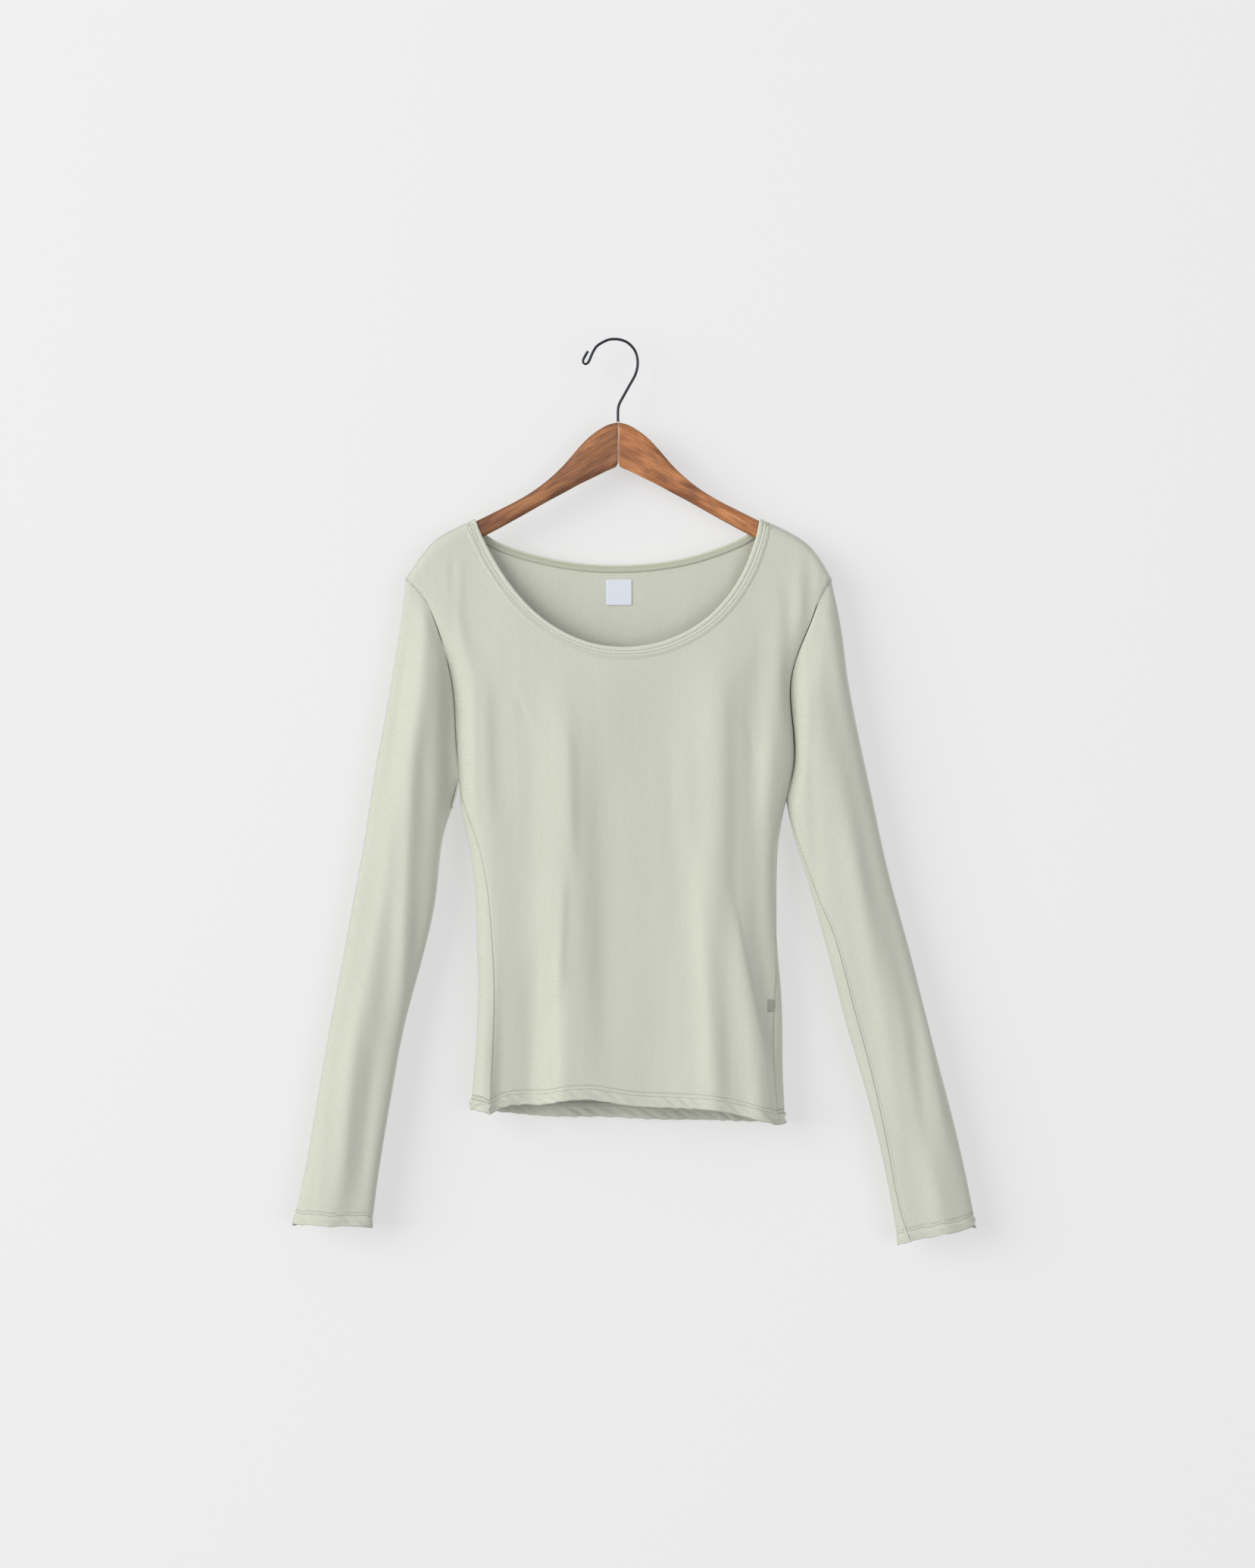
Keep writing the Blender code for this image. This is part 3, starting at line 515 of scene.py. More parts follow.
def findHem(bm, node):
    wanted = isCuff if "sleeve" in node else isHem
    loops = borderLoops(bm)
    return loops, inOrder(max((runOf(loop, wanted) for loop in loops), key=len))


def clothPiece(name, node, piece):
    bm = refined(name, drawTogether(outerSkin(node), piece["mends"]), piece["levels"])
    near = tracker(placesOf(findHem(bm, node)[1]))
    fine = [face for face in bm.faces if near(face.calc_center_median())[1] < piece["fineMm"] * mm]
    edges = list(dict.fromkeys(edge for face in fine for edge in face.edges))
    bmesh.ops.subdivide_edges(bm, edges=edges, cuts=1, use_grid_fill=True)
    loops, hemRun = findHem(bm, node)
    hemSet = set(hemRun)
    seamRuns = [[vert for vert in loop if vert not in hemSet] for loop in loops]
    reachSeams(bm, hemSet, piece["seamReachMm"])
    sculpt(bm, piece, hemRun, seamRuns)
    layUv(bm, piece["tilt"])
    bm.normal_update()
    lines = {
        "hem": placesOf(hemRun),
        "neck": [place for loop in loops for place in placesOf(inOrder(runOf(loop, isNeck)))],
        "seams": [[(vert.co.copy(), vert.normal.copy()) for vert in run] for run in seamRuns],
        "skin": BVHTree.FromBMesh(bm),
    }
    hemLine = tracker(lines["hem"])
    weights = {vert.index: ease(hemLine(vert.co)[1] / mm, *piece["doubleMm"]) for vert in bm.verts}
    made = showPiece(name, bm, jersey, "jersey", node)
    double = made.vertex_groups.new(name="double")
    for index, weight in weights.items():
        double.add([index], weight, "REPLACE")
    wall = made.modifiers.new("wall", "SOLIDIFY")
    wall.thickness = piece["hemWallMm"] * mm
    wall.offset = -1.0
    wall.vertex_group = "double"
    wall.thickness_vertex_group = piece["wallMm"] / piece["hemWallMm"]
    print("cloth:", name)
    return made, lines


frontPanel = {
    "levels": 2,
    "tilt": 0.0,
    "seed": 3.0,
    "wallMm": 1.2,
    "hemWallMm": 2.0,
    "doubleMm": (15.0, 12.5),  # the wall thickens between these heights over the edge
    "fineMm": 20.0,
    "seamSinkMm": 0.2,
    "seamReachMm": 0.28,
    # Each row: left, right, low and high side of a crowd of points, then the corner they become
    "mends": (
        (-149.3, -145.9, -202.0, -192.5, -147.6, -8.0, -197.0),
        (-149.3, -139.0, -218.0, -203.0, -141.7, -8.35, -209.5),
        (149.7, 151.3, -190.5, -186.8, 150.6, -7.6, -188.0),
        (148.6, 151.3, -202.5, -192.0, 149.3, -8.0, -197.0),
    ),
    "hem": {"depthMm": 12.5, "rippleMm": 17.0, "rippleLiftMm": 1.3, "slant": 1.3, "riseMm": 0.0},
    # name, top across and height, lower across and height, left and right width, lift
    "frontCreases": (
        ("shoulder gather 1", -174, -225, -169, -266, 3, 4, 0.8),
        ("shoulder gather 2", -159, -222, -156, -262, 3, 4, 0.8),
        ("left shoulder streak", -163, -250, -153, -330, 4, 7, 1.8),
        ("left armhole streak", -144, -330, -141, -480, 8, 3, 1.6),
        ("left armhole trough", -122, -345, -118, -470, 9, 14, -2.5),
        ("left chest streak", -98, -340, -96, -520, 9, 12, 1.0),
        ("dimple", -97, -362, -95, -376, 4, 4, -0.9),
        ("centre left streak", -48, -385, -45, -505, 15, 3.5, 2.6),
        ("centre left lower", -54, -540, -58, -650, 14, 4, 2.2),
        ("centre trough", -18, -420, -12, -700, 14, 24, -3.2),
        ("centre right streak", 40, -410, 44, -600, 11, 10, 1.0),
        ("right chest streak", 62, -390, 72, -520, 12, 10, 1.3),
        ("right chest lower", 92, -500, 98, -600, 10, 8, 1.2),
        ("right armhole trough", 117, -350, 118, -600, 11, 11, -2.3),
        ("right armhole ridge", 161, -262, 163, -380, 12, 3.5, 2.1),
        ("right armhole groove", 172, -262, 171, -345, 3, 4, -1.0),
        ("right side ridge", 150, -400, 147, -480, 10, 8, 1.6),
        ("right gather 1", 184, -228, 183, -296, 8, 4, 1.2),
        ("right gather 2", 199, -218, 201, -256, 3, 4, 0.8),
        ("hem fold edge", -58, -610, -62, -768, 3.5, 12, 2.2),
        ("hem fold trough", -82, -620, -86, -768, 10, 8, -2.2),
        ("lower right streak", 83, -540, 96, -765, 9, 10, 3.4),
        ("lower right trough", 106, -620, 112, -760, 8, 8, -0.9),
        ("side fold edge", 115, -567, 154, -755, 15, 3, 1.9),
    ),
    "backCreases": (),
}
front, frontLines = clothPiece("front", "front_panel", frontPanel)

backPanel = dict(
    frontPanel,
    seed=11.0,
    mends=(),
    hem={"depthMm": 12.5, "rippleMm": 16.0, "rippleLiftMm": 1.4, "slant": 1.3, "riseMm": 0.0},
    frontCreases=(),
    backCreases=(
        ("left shoulder streak", -150, -240, -128, -350, 7, 9, 1.6),
        ("left streak", -112, -330, -104, -470, 8, 9, 1.7),
        ("left waist trough", -92, -430, -96, -600, 8, 8, -1.9),
        ("centre streak", 6, -360, 2, -520, 7, 9, 1.5),
        ("centre trough", 34, -420, 30, -640, 12, 10, -1.7),
        ("right streak", 84, -340, 78, -480, 8, 8, 1.7),
        ("right waist trough", 104, -450, 98, -620, 9, 8, -1.8),
        ("right shoulder streak", 152, -240, 130, -340, 8, 7, 1.6),
        ("lower left fold", -60, -620, -66, -765, 3, 10, 1.4),
        ("lower right fold", 54, -640, 60, -765, 9, 3, 1.2),
    ),
)
back, backLines = clothPiece("back", "back_panel", backPanel)

sleeveLeft = dict(
    frontPanel,
    levels=2,
    tilt=-10.0,
    seed=23.0,
    mends=(),
    hem={"depthMm": 12.0, "rippleMm": 14.5, "rippleLiftMm": 1.1, "slant": 0.9, "riseMm": 2.6},
    frontCreases=(
        ("shoulder ridge", -187, -227, -200, -392, 8, 9, 3.4),
        ("shoulder trough", -212, -295, -229, -450, 7, 6, -2.2),
        ("second ridge", -179, -300, -178, -450, 6, 3, 1.4),
        ("arm ridge", -204, -400, -217, -651, 9, 9, 5.2),
        ("inner trough", -172, -350, -172, -448, 3, 7, -2.0),
        ("inner elbow trough", -196, -560, -212, -690, 6, 8, -1.2),
        ("outer elbow trough", -238, -520, -258, -660, 8, 8, -1.0),
        ("forearm streak", -262, -690, -276, -853, 9, 7, 1.9),
        ("forearm trough", -244, -720, -258, -850, 6, 6, -1.3),
        ("wrist streak", -292, -770, -300, -870, 6, 6, 1.0),
    ),
    backCreases=(
        ("upper streak", -200, -310, -214, -430, 8, 8, 1.5),
        ("elbow trough", -226, -520, -240, -640, 8, 8, -1.6),
        ("forearm streak", -256, -640, -280, -800, 8, 8, 1.5),
    ),
)
leftSleeve, leftLines = clothPiece("left sleeve", "sleeve_left", sleeveLeft)

sleeveRight = dict(
    sleeveLeft,
    tilt=12.0,
    seed=37.0,
    frontCreases=(
        ("shoulder ridge", 208, -258, 223, -357, 8, 7, 1.8),
        ("shoulder trough", 193, -300, 196, -400, 7, 7, -1.2),
        ("upper trough", 190, -400, 200, -550, 7, 7, -1.4),
        ("arm ridge", 232, -499, 258, -650, 9, 9, 2.2),
        ("forearm ridge", 262, -660, 284, -803, 9, 8, 2.5),
        ("outer trough", 268, -560, 300, -700, 8, 8, -1.2),
        ("forearm trough", 296, -700, 310, -820, 7, 7, -1.8),
        ("outer forearm ridge", 302, -660, 327, -800, 9, 6, 2.6),
        ("wrist streak", 304, -790, 322, -880, 7, 7, 1.2),
    ),
    backCreases=(
        ("upper streak", 206, -310, 222, -430, 8, 8, 1.5),
        ("elbow trough", 236, -520, 256, -640, 8, 8, -1.6),
        ("forearm streak", 276, -640, 304, -800, 8, 8, 1.5),
    ),
)
rightSleeve, rightLines = clothPiece("right sleeve", "sleeve_right", sleeveRight)


# Seams: where two pieces are sewn their edges roll in to a shallow valley, which closes
# the frame's gap

valley = {"withinMm": 3.2, "edgeMm": 1.1, "proudMm": 0.18, "deepMm": 0.02, "breakMm": 12.0}


def seamValley(bm, fromLines, toLines):
    for run in fromLines["seams"]:
        rows = []
        for place, normal in run:
            found, facing, _, away = toLines["skin"].find_nearest(place)
            if away > valley["withinMm"] * mm or facing.dot(normal) < 0:
                rows.append(None)
                continue
            up = (normal + facing).normalized()
            across = found - place
            across = (across - up * across.dot(up)).normalized()
            aside = across * valley["edgeMm"] * mm
            near = fromLines["skin"].find_nearest(place - aside)[0]
            far = toLines["skin"].find_nearest(found + aside)[0]
            proud = up * valley["proudMm"] * mm
            middle = (place + found) / 2 - up * valley["deepMm"] * mm
            line = (
                near - proud,
                place.lerp(near, 0.5) + proud,
                place,
                middle,
                found,
                found.lerp(far, 0.5) + proud,
                far - proud,
            )
            rows.append([bm.verts.new(co) for co in line])
        for above, below in zip(rows, rows[1:] + rows[:1]):
            if above and below and (above[3].co - below[3].co).length < valley["breakMm"] * mm:
                addStrip(bm, above, below)


seamBm = bmesh.new()
for panel in (frontLines, backLines):
    for sleeve in (leftLines, rightLines):
        seamValley(seamBm, panel, sleeve)
seamValley(seamBm, frontLines, backLines)
bmesh.ops.recalc_face_normals(seamBm, faces=seamBm.faces)
layUv(seamBm, 0.0)
showPiece("seams", seamBm, jersey, "jersey")
print("seams done")


# Neck band

smoothing = {"levels": 2, "crease": 0.8}


def roundedNode(name, node, material, slot, creaseDegrees=180.0):
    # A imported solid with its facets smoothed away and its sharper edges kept
    bm = mergedQuads(node)
    creases = bm.edges.layers.float.new("crease_edge")
    for edge in bm.edges:
        if edge.calc_face_angle(0.0) > math.radians(creaseDegrees):
            edge[creases] = smoothing["crease"]
    fine = refined(name, bm, smoothing["levels"])
    layUv(fine, 0.0)
    return showPiece(name, fine, material, slot, node)


band = roundedNode("neck binding", "neck_band", binding, "band")


# Sewing


def spaced(points, stepMm, startMm=0.0):
    # Places along a line at an even step, with the way along it
    places = []
    left = startMm * mm
    for a, b in zip(points, points[1:]):
        length = (b - a).length
        while left <= length:
            places.append((a.lerp(b, left / length), (b - a).normalized()))
            left += stepMm * mm
        left -= length
    return places


def surfaceOf(piece):
    return BVHTree.FromObject(piece, bpy.context.evaluated_depsgraph_get())


# One stitch: a flattened bead of thread, copied wherever the needle went
beadFlat = 0.64
bead = bmesh.new()
bmesh.ops.create_uvsphere(bead, u_segments=6, v_segments=4, radius=1.0)
beadVerts = sorted(bead.verts, key=lambda vert: [round(value, 3) for value in vert.co])
beadOrder = {vert: i for i, vert in enumerate(beadVerts)}
beadPoints = [vert.co.yzx for vert in beadVerts]
beadFaces = sorted([beadOrder[vert] for vert in face.verts] for face in bead.faces)
bead.free()

twinNeedle = {
    "stitchMm": 2.2,
    "stepMm": 2.9,
    "threadMm": 0.6,
    "startMm": 1.0,
    "insideMm": 30.0,  # so far in front the inside is looked at from
    "liftMm": 0.05,
    "rowsMm": (11.0, 14.2),
    "bandRowsMm": (2.5, 5.5),
}
overlock = {
    "tickMm": 4.2,
    "tickAtMm": 0.2,
    "tickLiftMm": 0.9,
    "stepMm": 2.2,
    "threadMm": 0.7,
    "slantMm": 0.9,
    "tapeMm": ((-2.4, 0.1), (-2.1, 0.6), (-0.6, 0.9), (1.8, 0.9), (3.6, 0.8), (4.2, 0.1)),
    "tapeStepMm": 2.0,
    "breakMm": 8.0,
}
upward = Vector((0, 0, 1))
forward = Vector((0, -1, 0))
neckMiddle = Vector((0, 0, -0.21))


def layStitch(bm, place, along, normal, lengthMm, threadMm=twinNeedle["threadMm"]):
    way = (along - normal * along.dot(normal)).normalized()
    side = way.cross(normal).normalized()
    up = side.cross(way).normalized()
    start = place + normal * twinNeedle["liftMm"] * mm
    length, width = way * lengthMm / 2 * mm, side * threadMm / 2 * mm
    height = up * threadMm / 2 * beadFlat * mm
    verts = [bm.verts.new(start + length * co.x + width * co.y + height * co.z) for co in beadPoints]
    for corners in beadFaces:
        bm.faces.new([verts[i] for i in corners])


def hemRows(bm, line, piece, inside=False):
    # Both rows of the twin needle on the outside, and on the inside where it shows
    surface = surfaceOf(piece)
    for offset in twinNeedle["rowsMm"]:
        for place, along in spaced(line, twinNeedle["stepMm"], twinNeedle["startMm"]):
            lifted = place + upward * offset * mm
            if inside:
                start = lifted + forward * twinNeedle["insideMm"] * mm
                found, normal, _, _ = surface.ray_cast(start, -forward)
                if found is None or normal.y > 0:
                    continue
            else:
                found, normal, _, _ = surface.find_nearest(lifted)
            layStitch(bm, found, along, normal, twinNeedle["stitchMm"])


stitching = bmesh.new()
hemRows(stitching, frontLines["hem"], front)
hemRows(stitching, backLines["hem"], back)
hemRows(stitching, leftLines["hem"], leftSleeve)
hemRows(stitching, rightLines["hem"], rightSleeve)
hemRows(stitching, backLines["hem"], back, inside=True)
showPiece("hem stitches", stitching, thread, "jersey")

# The binding's two rows follow the neckline
stitching = bmesh.new()
bandSurface = surfaceOf(band)
for offset in twinNeedle["bandRowsMm"]:
    for line, facing in ((frontLines["neck"], forward), (backLines["neck"], -forward)):
        for place, along in spaced(line, twinNeedle["stepMm"]):
            middle = Vector((0, place.y, neckMiddle.z)) - place
            inward = (middle - along * middle.dot(along)).normalized()
            start = place + inward * offset * mm + facing * 12 * mm
            found, normal, _, _ = bandSurface.ray_cast(start, -facing, 20 * mm)
            if found is not None:
                layStitch(stitching, found, along, normal, twinNeedle["stitchMm"])
showPiece("neck stitches", stitching, thread, "band")

# Beside the binding the front has a low ridge over its seam allowance, caught by a row of
# cover stitches
neckRidge = {
    "photo": (
        (629, 688), (640, 714), (651, 736), (669.5, 769.5), (688, 795), (706.5, 814), (732, 832),
        (762, 847), (792, 855), (821, 857.5), (851, 856), (880, 849), (910, 836), (939.5, 814),
        (962, 788), (980, 762), (991, 736), (999, 710), (1000, 695),
    ),
    "stepMm": 2.0,
    "searchMm": (4.0, 15.0, 0.25),
    "profileMm": (
        (-1.4, -0.1), (-0.9, 0.1), (-0.3, 0.2), (0.4, 0.42), (1.2, 0.55), (2.0, 0.5),
        (2.9, 0.28), (3.8, 0.02), (4.6, -0.3),
    ),
    "tickMm": 1.8,
    "tickStepMm": 2.2,
}


def photoLine(points, parts=8):
    # A smooth line in the frame through points read off the photograph
    scale = photo["millimetresPerPixel"] * mm
    corners = [
        Vector(((across - photo["originX"]) * scale, 0, (photo["originY"] - down) * scale))
        for across, down in points
    ]
    smooth = []
    for i in range(len(corners) - 1):
        before, a, b, after = (corners[min(max(i + k, 0), len(corners) - 1)] for k in (-1, 0, 1, 2))
        bend = 2 * before - 5 * a + 4 * b - after
        twist = 3 * a - before - 3 * b + after
        for step in range(parts):
            t = step / parts
            smooth.append(0.5 * (2 * a + (b - before) * t + bend * t * t + twist * t * t * t))
    return smooth + [corners[-1]]


def frontHit(surface, place):
    found, normal, _, _ = surface.ray_cast(Vector((place.x, -0.06, place.z)), -forward)
    return found if found is not None and normal.y < 0 else None


def evened(places, reach=2, rounds=2):
    for _ in range(rounds):
        near = [places[max(i - reach, 0) : i + reach + 1] for i in range(len(places))]
        places = [sum(group, Vector()) / len(group) for group in near]
    return places


def neckRidgeRows(ridge):
    # The binding's outer edge is where the last ray from the front still meets it
    panelSurface = surfaceOf(front)
    narrowest, widest, step = ridge["searchMm"]
    widths = [narrowest + step * i for i in range(round((widest - narrowest) / step))]
    edges, ways = [], []
    for place, along in spaced(photoLine(ridge["photo"]), ridge["stepMm"]):
        out = along.cross(forward).normalized()
        out = out if out.dot(place - neckMiddle) > 0 else -out
        hits = [width for width in widths if frontHit(bandSurface, place + out * width * mm)]
        if hits:
            edges.append(place + out * max(hits) * mm)
            ways.append(out)
    edges = edges[:2] + evened(edges)[2:-2] + edges[-2:]
    first, last = ridge["profileMm"][0][0], ridge["profileMm"][-1][0]

    def depths(surface, offset):
        hits = [frontHit(surface, edge + out * offset * mm) for edge, out in zip(edges, ways)]
        known = [hit.y for hit in hits if hit]
        filled = [Vector((0, hit.y if hit else sum(known) / len(known), 0)) for hit in hits]
        return [point.y for point in evened(filled)]

    onBand, onPanel = depths(bandSurface, first), depths(panelSurface, last)
    rows = []
    for offset, lift in ridge["profileMm"]:
        share = ease(offset, first, last)
        row = [edge + out * offset * mm for edge, out in zip(edges, ways)]
        for place, a, b in zip(row, onBand, onPanel):
            place.y = a + (b - a) * share - lift * mm
        rows.append(row)
    return rows


ridgeRows = neckRidgeRows(neckRidge)
ridgeBm = bmesh.new()
ridgeVerts = [[ridgeBm.verts.new(co) for co in row] for row in ridgeRows]
for above, below in zip(ridgeVerts, ridgeVerts[1:]):
    addStrip(ridgeBm, above, below)
bmesh.ops.recalc_face_normals(ridgeBm, faces=ridgeBm.faces)
layUv(ridgeBm, 0.0)
showPiece("neck seam ridge", ridgeBm, jersey, "jersey")
stitching = bmesh.new()
crest, slope = (spaced(row, neckRidge["tickStepMm"]) for row in ridgeRows[4:6])
for (place, _), (other, _) in zip(crest, slope):
    start = place + forward * twinNeedle["liftMm"] * mm
    layStitch(stitching, start, (other - place).normalized(), forward, neckRidge["tickMm"])
showPiece("neck cover stitches", stitching, threadLight, "band")


def insideNeck(place, along, aside):
    # A place inside the back neck, so far to the side of the neckline, and the way across it
    start = place + upward * 1.5 * mm + forward * 6 * mm
    found, normal, _, _ = bandSurface.ray_cast(start, -forward, 14 * mm)
    if found is None or normal.y > 0:
        return None
    across = along.cross(forward).normalized()
    across = across if across.z > 0 else -across
    return found + across * aside * mm, across


def neckTape(line):
    # The overlocked seam allowance inside the back neck
    bm = bmesh.new()
    rows = []
    for place, along in spaced(line, overlock["tapeStepMm"]):
        row = [(insideNeck(place, along, aside), lift) for aside, lift in overlock["tapeMm"]]
        if all(spot for spot, _ in row):
            rows.append([bm.verts.new(spot[0] + forward * lift * mm) for spot, lift in row])
    for above, below in zip(rows, rows[1:]):
        if (above[0].co - below[0].co).length < overlock["breakMm"] * mm:
            addStrip(bm, above, below)
    bmesh.ops.recalc_face_normals(bm, faces=bm.faces)
    return bm


showPiece("neck overlock", neckTape(backLines["neck"]), threadDark, "band")
stitching = bmesh.new()
for place, along in spaced(backLines["neck"], overlock["stepMm"]):
    spot = insideNeck(place, along, overlock["tickAtMm"])
    if spot:
        start = spot[0] + forward * overlock["tickLiftMm"] * mm
        slanted = (spot[1] * overlock["tickMm"] + along * overlock["slantMm"]).normalized()
        layStitch(stitching, start, slanted, forward, overlock["tickMm"], overlock["threadMm"])
showPiece("neck ticks", stitching, threadLight, "band")
print("sewing: hems and neck")

# The right sleeve's underarm seam has turned to the front: two soft ridges with a valley between
sleeveSeam = {
    "photo": (
        (1039.5, 1068), (1059, 1127), (1079, 1183), (1103, 1242), (1126.5, 1329), (1150, 1416),
        (1170, 1507), (1186, 1590), (1202, 1639),
    ),
    "stepMm": 1.6,
    "profileMm": (
        (-3.2, -0.12), (-2.2, 0.3), (-1.3, 0.62), (-0.6, 0.5), (-0.35, -0.08), (0.2, -0.08),
        (0.45, 0.42), (1.2, 0.5), (2.2, 0.25), (3.2, -0.12),
    ),
    "threadStepMm": 2.3,
    "stitchMm": 2.42,
    "threadMm": 0.55,
}


def seamRidge(seam, surface):
    bm = bmesh.new()
    rows = []
    for place, along in spaced(photoLine(seam["photo"]), seam["stepMm"]):
        side = along.cross(forward).normalized()
        row = []
        for offset, lift in seam["profileMm"]:
            start = place + side * offset * mm + forward * 60 * mm
            found, normal, _, _ = surface.ray_cast(start, -forward)
            if found is None:
                break
            row.append(found + normal * lift * mm)
        if len(row) == len(seam["profileMm"]):
            rows.append([bm.verts.new(co) for co in row])
    for above, below in zip(rows, rows[1:]):
        if (above[0].co - below[0].co).length < 3 * seam["stepMm"] * mm:
            addStrip(bm, above, below)
    bmesh.ops.recalc_face_normals(bm, faces=bm.faces)
    layUv(bm, sleeveRight["tilt"])
    return bm


sleeveSurface = surfaceOf(rightSleeve)
showPiece("right underarm seam", seamRidge(sleeveSeam, sleeveSurface), jersey, "jersey")
stitching = bmesh.new()
for place, along in spaced(photoLine(sleeveSeam["photo"]), sleeveSeam["threadStepMm"]):
    spot = frontHit(sleeveSurface, place)
    if spot is not None:
        layStitch(stitching, spot, along, forward, sleeveSeam["stitchMm"], sleeveSeam["threadMm"])
showPiece("underarm thread", stitching, thread, "jersey")
print("sewing: underarm seam")


# Neck label and side tag

ribbonFinish = {"label": "#d4d9e3", "tag": "#9a9c8e", "ribMm": 0.45, "creaseDegrees": 60.0}


def ribbonMaterial(name, hexColour):
    # Woven polyester ribbon: fine cross ribs and a faint satin shine
    material, tree, shader = newMaterial(name)
    place = addNode(tree, "ShaderNodeTexCoord").outputs["Object"]
    ribs = addNode(
        tree,
        "ShaderNodeTexWave",
        {"bands_direction": "Z", "Scale": waveScale(ribbonFinish["ribMm"] * mm), "Distortion": 0.4},
        {"Vector": place},
    ).outputs["Fac"]
    ramp = addNode(tree, "ShaderNodeValToRGB", links={"Fac": ribs})
    ramp.color_ramp.elements[0].color = tinted(hexColour, 0.94)
    ramp.color_ramp.elements[1].color = linear(hexColour)
    tree.links.new(ramp.outputs["Color"], shader.inputs["Base Color"])
    bump = addNode(tree, "ShaderNodeBump", {"Strength": 0.3, "Distance": 0.0001}, {"Height": ribs})
    tree.links.new(bump.outputs["Normal"], shader.inputs["Normal"])
    shader.inputs["Roughness"].default_value = 0.55
    return material


for name, slot in (("neck label", "label"), ("side tag", "tag")):
    ribbon = ribbonMaterial(f"woven {slot} ribbon", ribbonFinish[slot])
    roundedNode(name, name.replace(" ", "_"), ribbon, slot, ribbonFinish["creaseDegrees"])
print("label and tag done")


# Hanger

woodFinish = {
    "light": "#b57a4c",
    "base": "#9c653d",
    "dark": "#7a4a2b",
    "streakDark": (0.6, 0.56, 0.52),
    "streakLight": (1.08, 1.06, 1.04),
    "leftTint": 0.84,
    "rightTint": 1.28,
    "slopeDegrees": 29.0,
    "grainMm": (1.6, 26.0),
    "patchMm": (12.0, 55.0),
    "creaseDegrees": 75.0,
}


def woodMaterial(name, side, tint):
    # Beech stained brown and oiled: grain along the arm, with darker patches where the stain soaked
    # in and lighter ones between, at random
    material, tree, shader = newMaterial(name)
    place = addNode(tree, "ShaderNodeTexCoord").outputs["Object"]
    slope = math.radians(woodFinish["slopeDegrees"] * side)
    turned = addNode(
        tree,
        "ShaderNodeMapping",
        {"vector_type": "TEXTURE", "Rotation": (0, slope, 0)},
        {"Vector": place},
    ).outputs["Vector"]

    def grain(size, detail, distortion):
        across, along = size
        stretched = addNode(
            tree,
            "ShaderNodeMapping",
            {"Scale": (1 / (along * mm), 1 / (across * mm), 1 / (across * mm))},
            {"Vector": turned},
        ).outputs["Vector"]
        return addNode(
            tree,
            "ShaderNodeTexNoise",
            {"Scale": 1.0, "Detail": detail, "Roughness": 0.6, "Distortion": distortion},
            {"Vector": stretched},
        ).outputs["Fac"]

    fine = grain(woodFinish["grainMm"], 5.0, 0.6)
    patches = grain(woodFinish["patchMm"], 3.0, 0.2)
    ramp = addNode(tree, "ShaderNodeValToRGB", links={"Fac": patches})
    ramp.color_ramp.elements[0].position = 0.36
    ramp.color_ramp.elements[0].color = linear(woodFinish["dark"])
    ramp.color_ramp.elements[1].position = 0.66
    ramp.color_ramp.elements[1].color = linear(woodFinish["light"])
    ramp.color_ramp.elements.new(0.5).color = linear(woodFinish["base"])
    streak = addNode(tree, "ShaderNodeValToRGB", links={"Fac": fine})
    streak.color_ramp.elements[0].position = 0.35
    streak.color_ramp.elements[0].color = (*(c * tint for c in woodFinish["streakDark"]), 1)
    streak.color_ramp.elements[1].position = 0.6
    streak.color_ramp.elements[1].color = (*(c * tint for c in woodFinish["streakLight"]), 1)
    mixed = addNode(
        tree,
        "ShaderNodeMix",
        {"data_type": "RGBA", "blend_type": "MULTIPLY", 0: 1.0},
        {6: ramp.outputs["Color"], 7: streak.outputs["Color"]},
    ).outputs[2]
    tree.links.new(mixed, shader.inputs["Base Color"])
    bump = addNode(tree, "ShaderNodeBump", {"Strength": 0.3, "Distance": 0.0003}, {"Height": fine})
    tree.links.new(bump.outputs["Normal"], shader.inputs["Normal"])
    shader.inputs["Roughness"].default_value = 0.5
    shader.inputs["Coat Weight"].default_value = 0.15
    shader.inputs["Coat Roughness"].default_value = 0.3
    return material


for word, side in (("left", -1), ("right", 1)):
    wood = woodMaterial(f"stained beech {word}", side, woodFinish[word + "Tint"])
    roundedNode(f"hanger arm {word}", f"hanger_arm_{word}", wood, "wood", woodFinish["creaseDegrees"])

wireFinish = {"dark": "#171b22", "light": "#2b323d", "creaseDegrees": 80.0}


def wireMaterial(name):
    # Steel wire with a baked blue-black enamel: dark, half gloss
    material, tree, shader = newMaterial(name)
    place = addNode(tree, "ShaderNodeTexCoord").outputs["Object"]
    wear = addNode(
        tree, "ShaderNodeTexNoise", {"Scale": 260.0, "Detail": 3.0}, {"Vector": place}
    ).outputs["Fac"]
    ramp = addNode(tree, "ShaderNodeValToRGB", links={"Fac": wear})
    ramp.color_ramp.elements[0].color = linear(wireFinish["dark"])
    ramp.color_ramp.elements[1].color = linear(wireFinish["light"])
    tree.links.new(ramp.outputs["Color"], shader.inputs["Base Color"])
    shader.inputs["Roughness"].default_value = 0.38
    shader.inputs["Metallic"].default_value = 0.4
    return material


enamel = wireMaterial("blue-black enamelled steel")
roundedNode("hook wire", "hook", enamel, "wire", wireFinish["creaseDegrees"])
print("hanger done")


# Stage, light and camera

stage = {"wallY": 0.034, "wallZ": -0.4, "wall": "#979797", "glow": 1.62, "sizeM": 9.0}


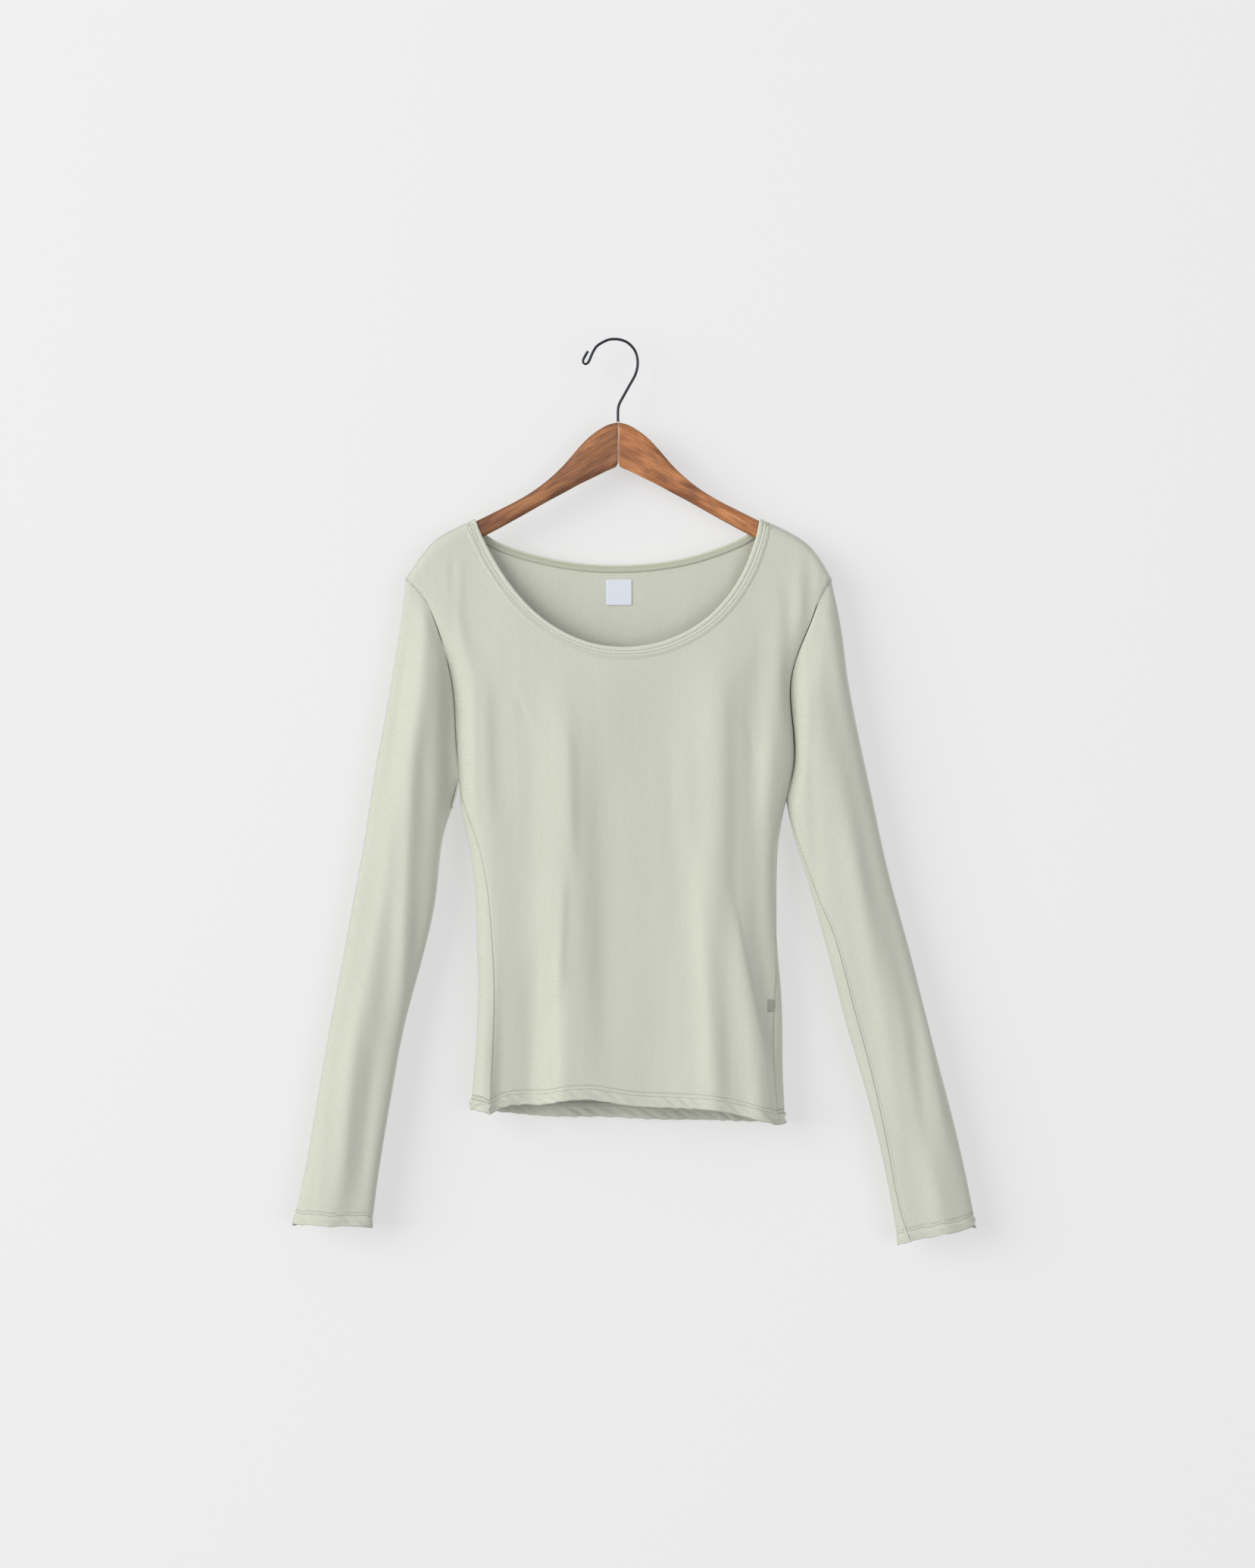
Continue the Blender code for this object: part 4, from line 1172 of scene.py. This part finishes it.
def wallMaterial():
    # Matt emulsion on smooth plaster, seen from its front only
    material, tree, shader = newMaterial("matt wall paint")
    shader.inputs["Base Color"].default_value = linear(stage["wall"])
    shader.inputs["Emission Color"].default_value = linear(stage["wall"])
    shader.inputs["Emission Strength"].default_value = stage["glow"]
    shader.inputs["Roughness"].default_value = 0.95
    shader.inputs["Specular IOR Level"].default_value = 0.1
    place = addNode(tree, "ShaderNodeTexCoord").outputs["Object"]
    roller = addNode(
        tree, "ShaderNodeTexNoise", {"Scale": 160.0, "Detail": 4.0}, {"Vector": place}
    ).outputs["Fac"]
    bump = addNode(tree, "ShaderNodeBump", {"Strength": 0.15, "Distance": 0.0005}, {"Height": roller})
    tree.links.new(bump.outputs["Normal"], shader.inputs["Normal"])
    clear = addNode(tree, "ShaderNodeBsdfTransparent")
    behind = addNode(tree, "ShaderNodeNewGeometry").outputs["Backfacing"]
    shown = addNode(
        tree,
        "ShaderNodeMixShader",
        links={0: behind, 1: shader.outputs["BSDF"], 2: clear.outputs["BSDF"]},
    )
    tree.links.new(shown.outputs["Shader"], tree.nodes["Material Output"].inputs["Surface"])
    return material


wallBm = bmesh.new()
bmesh.ops.create_grid(
    wallBm,
    x_segments=2,
    y_segments=2,
    size=stage["sizeM"] / 2,
    matrix=Matrix.Translation((0, stage["wallY"], stage["wallZ"]))
    @ Matrix.Rotation(math.pi / 2, 4, "X"),
)
wall = bpy.data.objects.new("wall", toMesh("wall", wallBm))
scene.collection.objects.link(wall)
wall.data.materials.append(wallMaterial())
wall.visible_shadow = False
wall.visible_diffuse = False
wall.visible_glossy = False


# Place, size and power of each light, all turned to the middle of the garment
lamps = {
    "window": {"place": (-5.1, -4.3, 1.0), "size": (5.8, 4.4), "watts": 410.0, "colour": "#fffefb"},
    "fill": {"place": (2.6, -5.2, -0.6), "size": (3.0, 3.0), "watts": 68.0, "colour": "#fbfcff"},
    # The wall casts no shadow, so this one shows the back's folds when the back is looked at
    "back": {"place": (3.8, 4.4, 1.4), "size": (2.6, 2.6), "watts": 130.0, "colour": "#fffefb"},
}
room = {"middle": (0.0, 0.0, -0.45), "colour": "#fbfcfe", "strength": 0.49}

for name, lamp in lamps.items():
    light = bpy.data.lights.new(name, "AREA")
    light.shape = "RECTANGLE"
    light.size, light.size_y = lamp["size"]
    light.energy = lamp["watts"]
    light.color = linear(lamp["colour"])[:3]
    stand = bpy.data.objects.new(name, light)
    stand.location = lamp["place"]
    way = Vector(room["middle"]) - Vector(lamp["place"])
    stand.rotation_euler = way.to_track_quat("-Z", "Y").to_euler()
    scene.collection.objects.link(stand)

world = bpy.data.worlds.new("room")
scene.world = world
world.use_nodes = True
world.node_tree.nodes["Background"].inputs["Color"].default_value = linear(room["colour"])
world.node_tree.nodes["Background"].inputs["Strength"].default_value = room["strength"]

# The camera stands square to the wall and takes in the photograph's whole height at the origin
view = {"distanceM": 3.2, "sensorMm": 36.0}
pixel = photo["millimetresPerPixel"] * mm
cameraData = bpy.data.cameras.new("camera")
camera = bpy.data.objects.new("camera", cameraData)
scene.collection.objects.link(camera)
scene.camera = camera
cameraData.sensor_width = view["sensorMm"]
cameraData.lens = view["sensorMm"] * view["distanceM"] / (photo["height"] * pixel)
camera.location = (
    (photo["width"] / 2 - photo["originX"]) * pixel,
    -view["distanceM"],
    (photo["originY"] - photo["height"] / 2) * pixel,
)
camera.rotation_euler = (math.pi / 2, 0, 0)
scene.view_settings.view_transform = "Standard"
print("stage, light and camera done")
